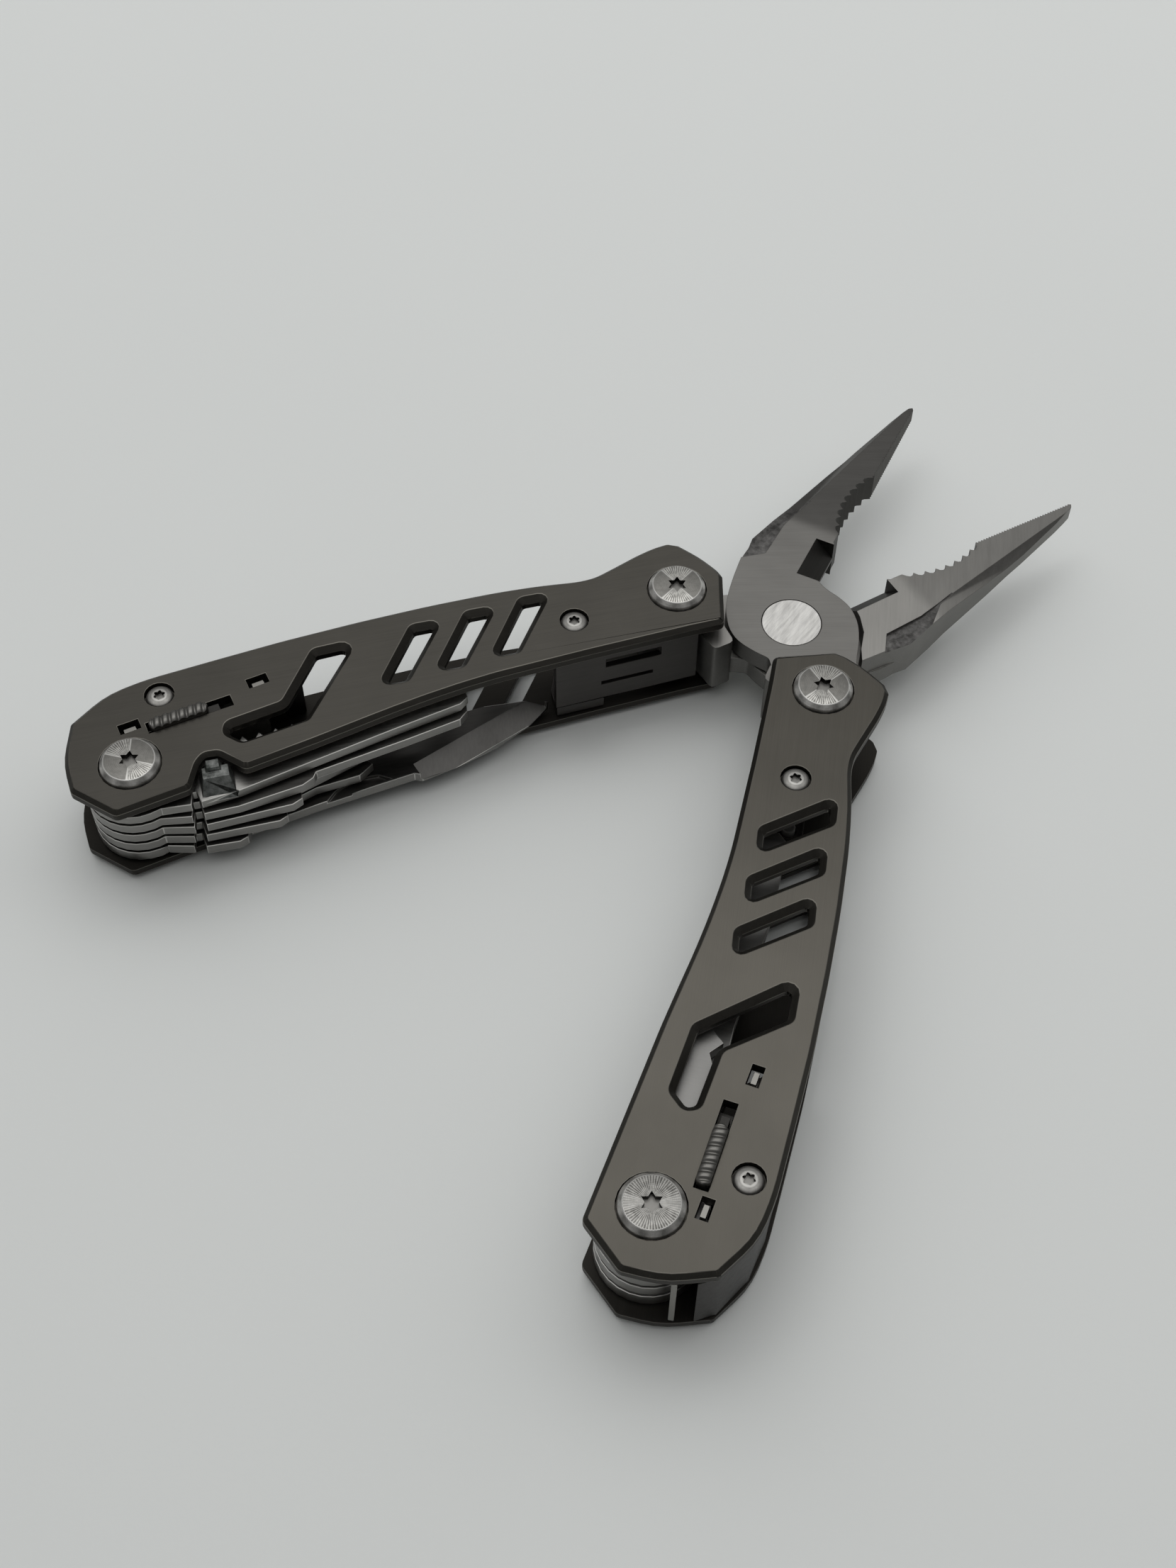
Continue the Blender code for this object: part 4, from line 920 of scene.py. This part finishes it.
def block(low_corners, low, high_corners, high):
    """The convex solid between two rectangles, each given by two opposite corners."""
    bm = bmesh.new()
    for (first, second), z in ((low_corners, low), (high_corners, high)):
        for x in (first[0], second[0]):
            for y in (first[1], second[1]):
                bm.verts.new((x * MM, y * MM, z * MM))
    bmesh.ops.convex_hull(bm, input=bm.verts[:])
    bmesh.ops.recalc_face_normals(bm, faces=bm.faces[:])
    return bm


def stepped_lug(bm):
    """The saw with a stepped, sloping thumb lug instead of the plain one."""
    bare = carved(bm, prism(LUG_CUT, LUG_CUT_BASE, ABOVE_ALL))
    return carved(bare, block(*LUG_BASE), block(*LUG_KNOB), operation="UNION")


def thinner(change=None):
    """Gives what raises the underside of a folded tool, which leaves a darker gap below it."""
    def apply(bm):
        floor_height = min(vert.co.z for vert in bm.verts)
        for vert in bm.verts:
            if vert.co.z < floor_height + 0.01 * MM:
                vert.co.z += TOOL_GAP * MM
        return change(bm) if change else bm
    return apply


TOOLS = {
    "left": (("saw", saw_face), ("driver", None), ("awl", None), ("can_opener", None),
             ("knife", ground_face)),
    "right": (("bottle_opener", None), ("file", None), ("serrated_blade", ground_face),
              ("cross_driver", None)),
}
# Tools with their own painted tone: painted light on the saw, painted shade on the knife.
PAINTED_TOOL_TONE = {"saw": SAW_PAINTED_LIGHT, "knife": KNIFE_PAINTED_SHADE}
for side, names in TOOLS.items():
    for name, choose in names:
        other = LUG if name == "saw" else TOOL_BEVEL
        # The right tools take the painted-light copy of the tool steel.
        main = PAINTED_TOOL_TONE.get(name, TOOL if side == "left" else TOOL_PAINTED_LIGHT)
        refined(f"{side}_{name}", FRAMES[side], [main, other, TOOL_EDGE_HIGHLIGHT], 0.11,
                choose, edge_highlight=2, extra=thinner(stepped_lug if name == "saw" else None))

refined("jaw_spring", FRAMES["b"], [JAW_B], 0.06)


# ---------------------------------------------------------------- floor, light and camera

# Lengths here are in metres and angles in degrees.
FLOOR_HALF = 6.0
FLOOR_HEIGHT = -0.0002
CAMERA_SPOT = (-0.06726, -0.16387, 0.26757)
CAMERA_ROUND = -18.0
CAMERA_RISE = 54.4
CAMERA_ROLL = 0.59
CAMERA_LENS = 62.63
# How bright the sky is at each height, from the horizon at 0 to straight up at 1.
SKY_LOW, SKY_TOP = 0.05, 0.92
SKY_STEPS = ((0.3, 0.10), (0.6, 0.23), (0.78, 0.36), (0.84, 0.60), (0.90, 0.88))


def floor():
    """A large sheet of light grey paper just under the tool."""
    bm = bmesh.new()
    half = FLOOR_HALF
    corners = [(-half, -half), (half, -half), (half, half), (-half, half)]
    bm.faces.new([bm.verts.new((x, y, FLOOR_HEIGHT)) for x, y in corners])
    mesh = bpy.data.meshes.new("floor")
    bm.to_mesh(mesh)
    bm.free()
    keep_own_place(mesh)
    obj = bpy.data.objects.new("floor", mesh)
    bpy.context.scene.collection.objects.link(obj)
    finish = Finish("floor_paper", metallic=0.0)
    cloud = finish.noise((6.0, 6.0, 6.0), 2.0)
    grain = finish.noise((1400.0, 1400.0, 1400.0), 3.0)
    colour = finish.colour(cloud, (0.738, 0.757, 0.747), (0.768, 0.787, 0.777))
    rough = finish.remap(grain, 0.3, 0.7, 0.55, 0.7)
    finish.raise_by(grain, 0.01)
    mesh.materials.append(finish.done(colour, rough))


def sky():
    """Bright overhead, dim towards the horizon, and dimmer towards -y than towards +y."""
    world = bpy.data.worlds.new("studio")
    bpy.context.scene.world = world
    world.use_nodes = True
    nodes = world.node_tree.nodes
    links = world.node_tree.links
    place = nodes.new("ShaderNodeTexCoord")
    split = nodes.new("ShaderNodeSeparateXYZ")
    links.new(place.outputs["Generated"], split.inputs["Vector"])
    rise = nodes.new("ShaderNodeValToRGB")
    elements = rise.color_ramp.elements
    for height, glow in SKY_STEPS:
        elements.new(height).color = (glow, glow, glow, 1.0)
    elements[0].color = (SKY_LOW, SKY_LOW, SKY_LOW, 1.0)
    elements[-1].color = (SKY_TOP, SKY_TOP, SKY_TOP, 1.0)
    links.new(split.outputs["Z"], rise.inputs["Fac"])
    back = nodes.new("ShaderNodeMapRange")
    back.inputs["From Min"].default_value = -0.9
    back.inputs["From Max"].default_value = 0.5
    back.inputs["To Min"].default_value = 0.5
    back.inputs["To Max"].default_value = 1.4
    links.new(split.outputs["Y"], back.inputs["Value"])
    product = nodes.new("ShaderNodeMath")
    product.operation = "MULTIPLY"
    links.new(rise.outputs["Color"], product.inputs[0])
    links.new(back.outputs["Result"], product.inputs[1])
    background = nodes["Background"]
    background.inputs["Color"].default_value = (1.0, 1.0, 0.99, 1.0)
    links.new(product.outputs["Value"], background.inputs["Strength"])


def softbox(name, spot, target, size, power):
    """A soft rectangular light that doesn't show in reflections."""
    light = bpy.data.lights.new(name, "AREA")
    light.shape = "RECTANGLE"
    light.size, light.size_y = size
    light.energy = power
    obj = bpy.data.objects.new(name, light)
    bpy.context.scene.collection.objects.link(obj)
    obj.location = spot
    obj.visible_glossy = False
    obj.rotation_euler = (Vector(target) - Vector(spot)).to_track_quat("-Z", "Y").to_euler()


def camera():
    """High above the table, a little round to the left, with a very small roll."""
    data = bpy.data.cameras.new("view")
    obj = bpy.data.objects.new("view", data)
    bpy.context.scene.collection.objects.link(obj)
    obj.matrix_world = (
        Matrix.Translation(CAMERA_SPOT)
        @ Matrix.Rotation(math.radians(CAMERA_ROUND), 4, "Z")
        @ Matrix.Rotation(math.radians(90.0 - CAMERA_RISE), 4, "X")
        @ Matrix.Rotation(math.radians(CAMERA_ROLL), 4, "Z")
    )
    data.sensor_fit = "HORIZONTAL"
    data.sensor_width = 36.0
    data.lens = CAMERA_LENS
    data.clip_start = 0.005
    data.clip_end = 20.0
    bpy.context.scene.camera = obj


floor()
sky()
softbox("key", (-0.05, 0.85, 0.85), (0.06, 0.20, 0.0), (1.4, 1.2), 5.4)
softbox("fill", (0.75, 0.25, 0.50), (0.14, 0.12, 0.0), (0.9, 0.9), 1.8)
camera()
bpy.context.scene.view_settings.view_transform = "Standard"
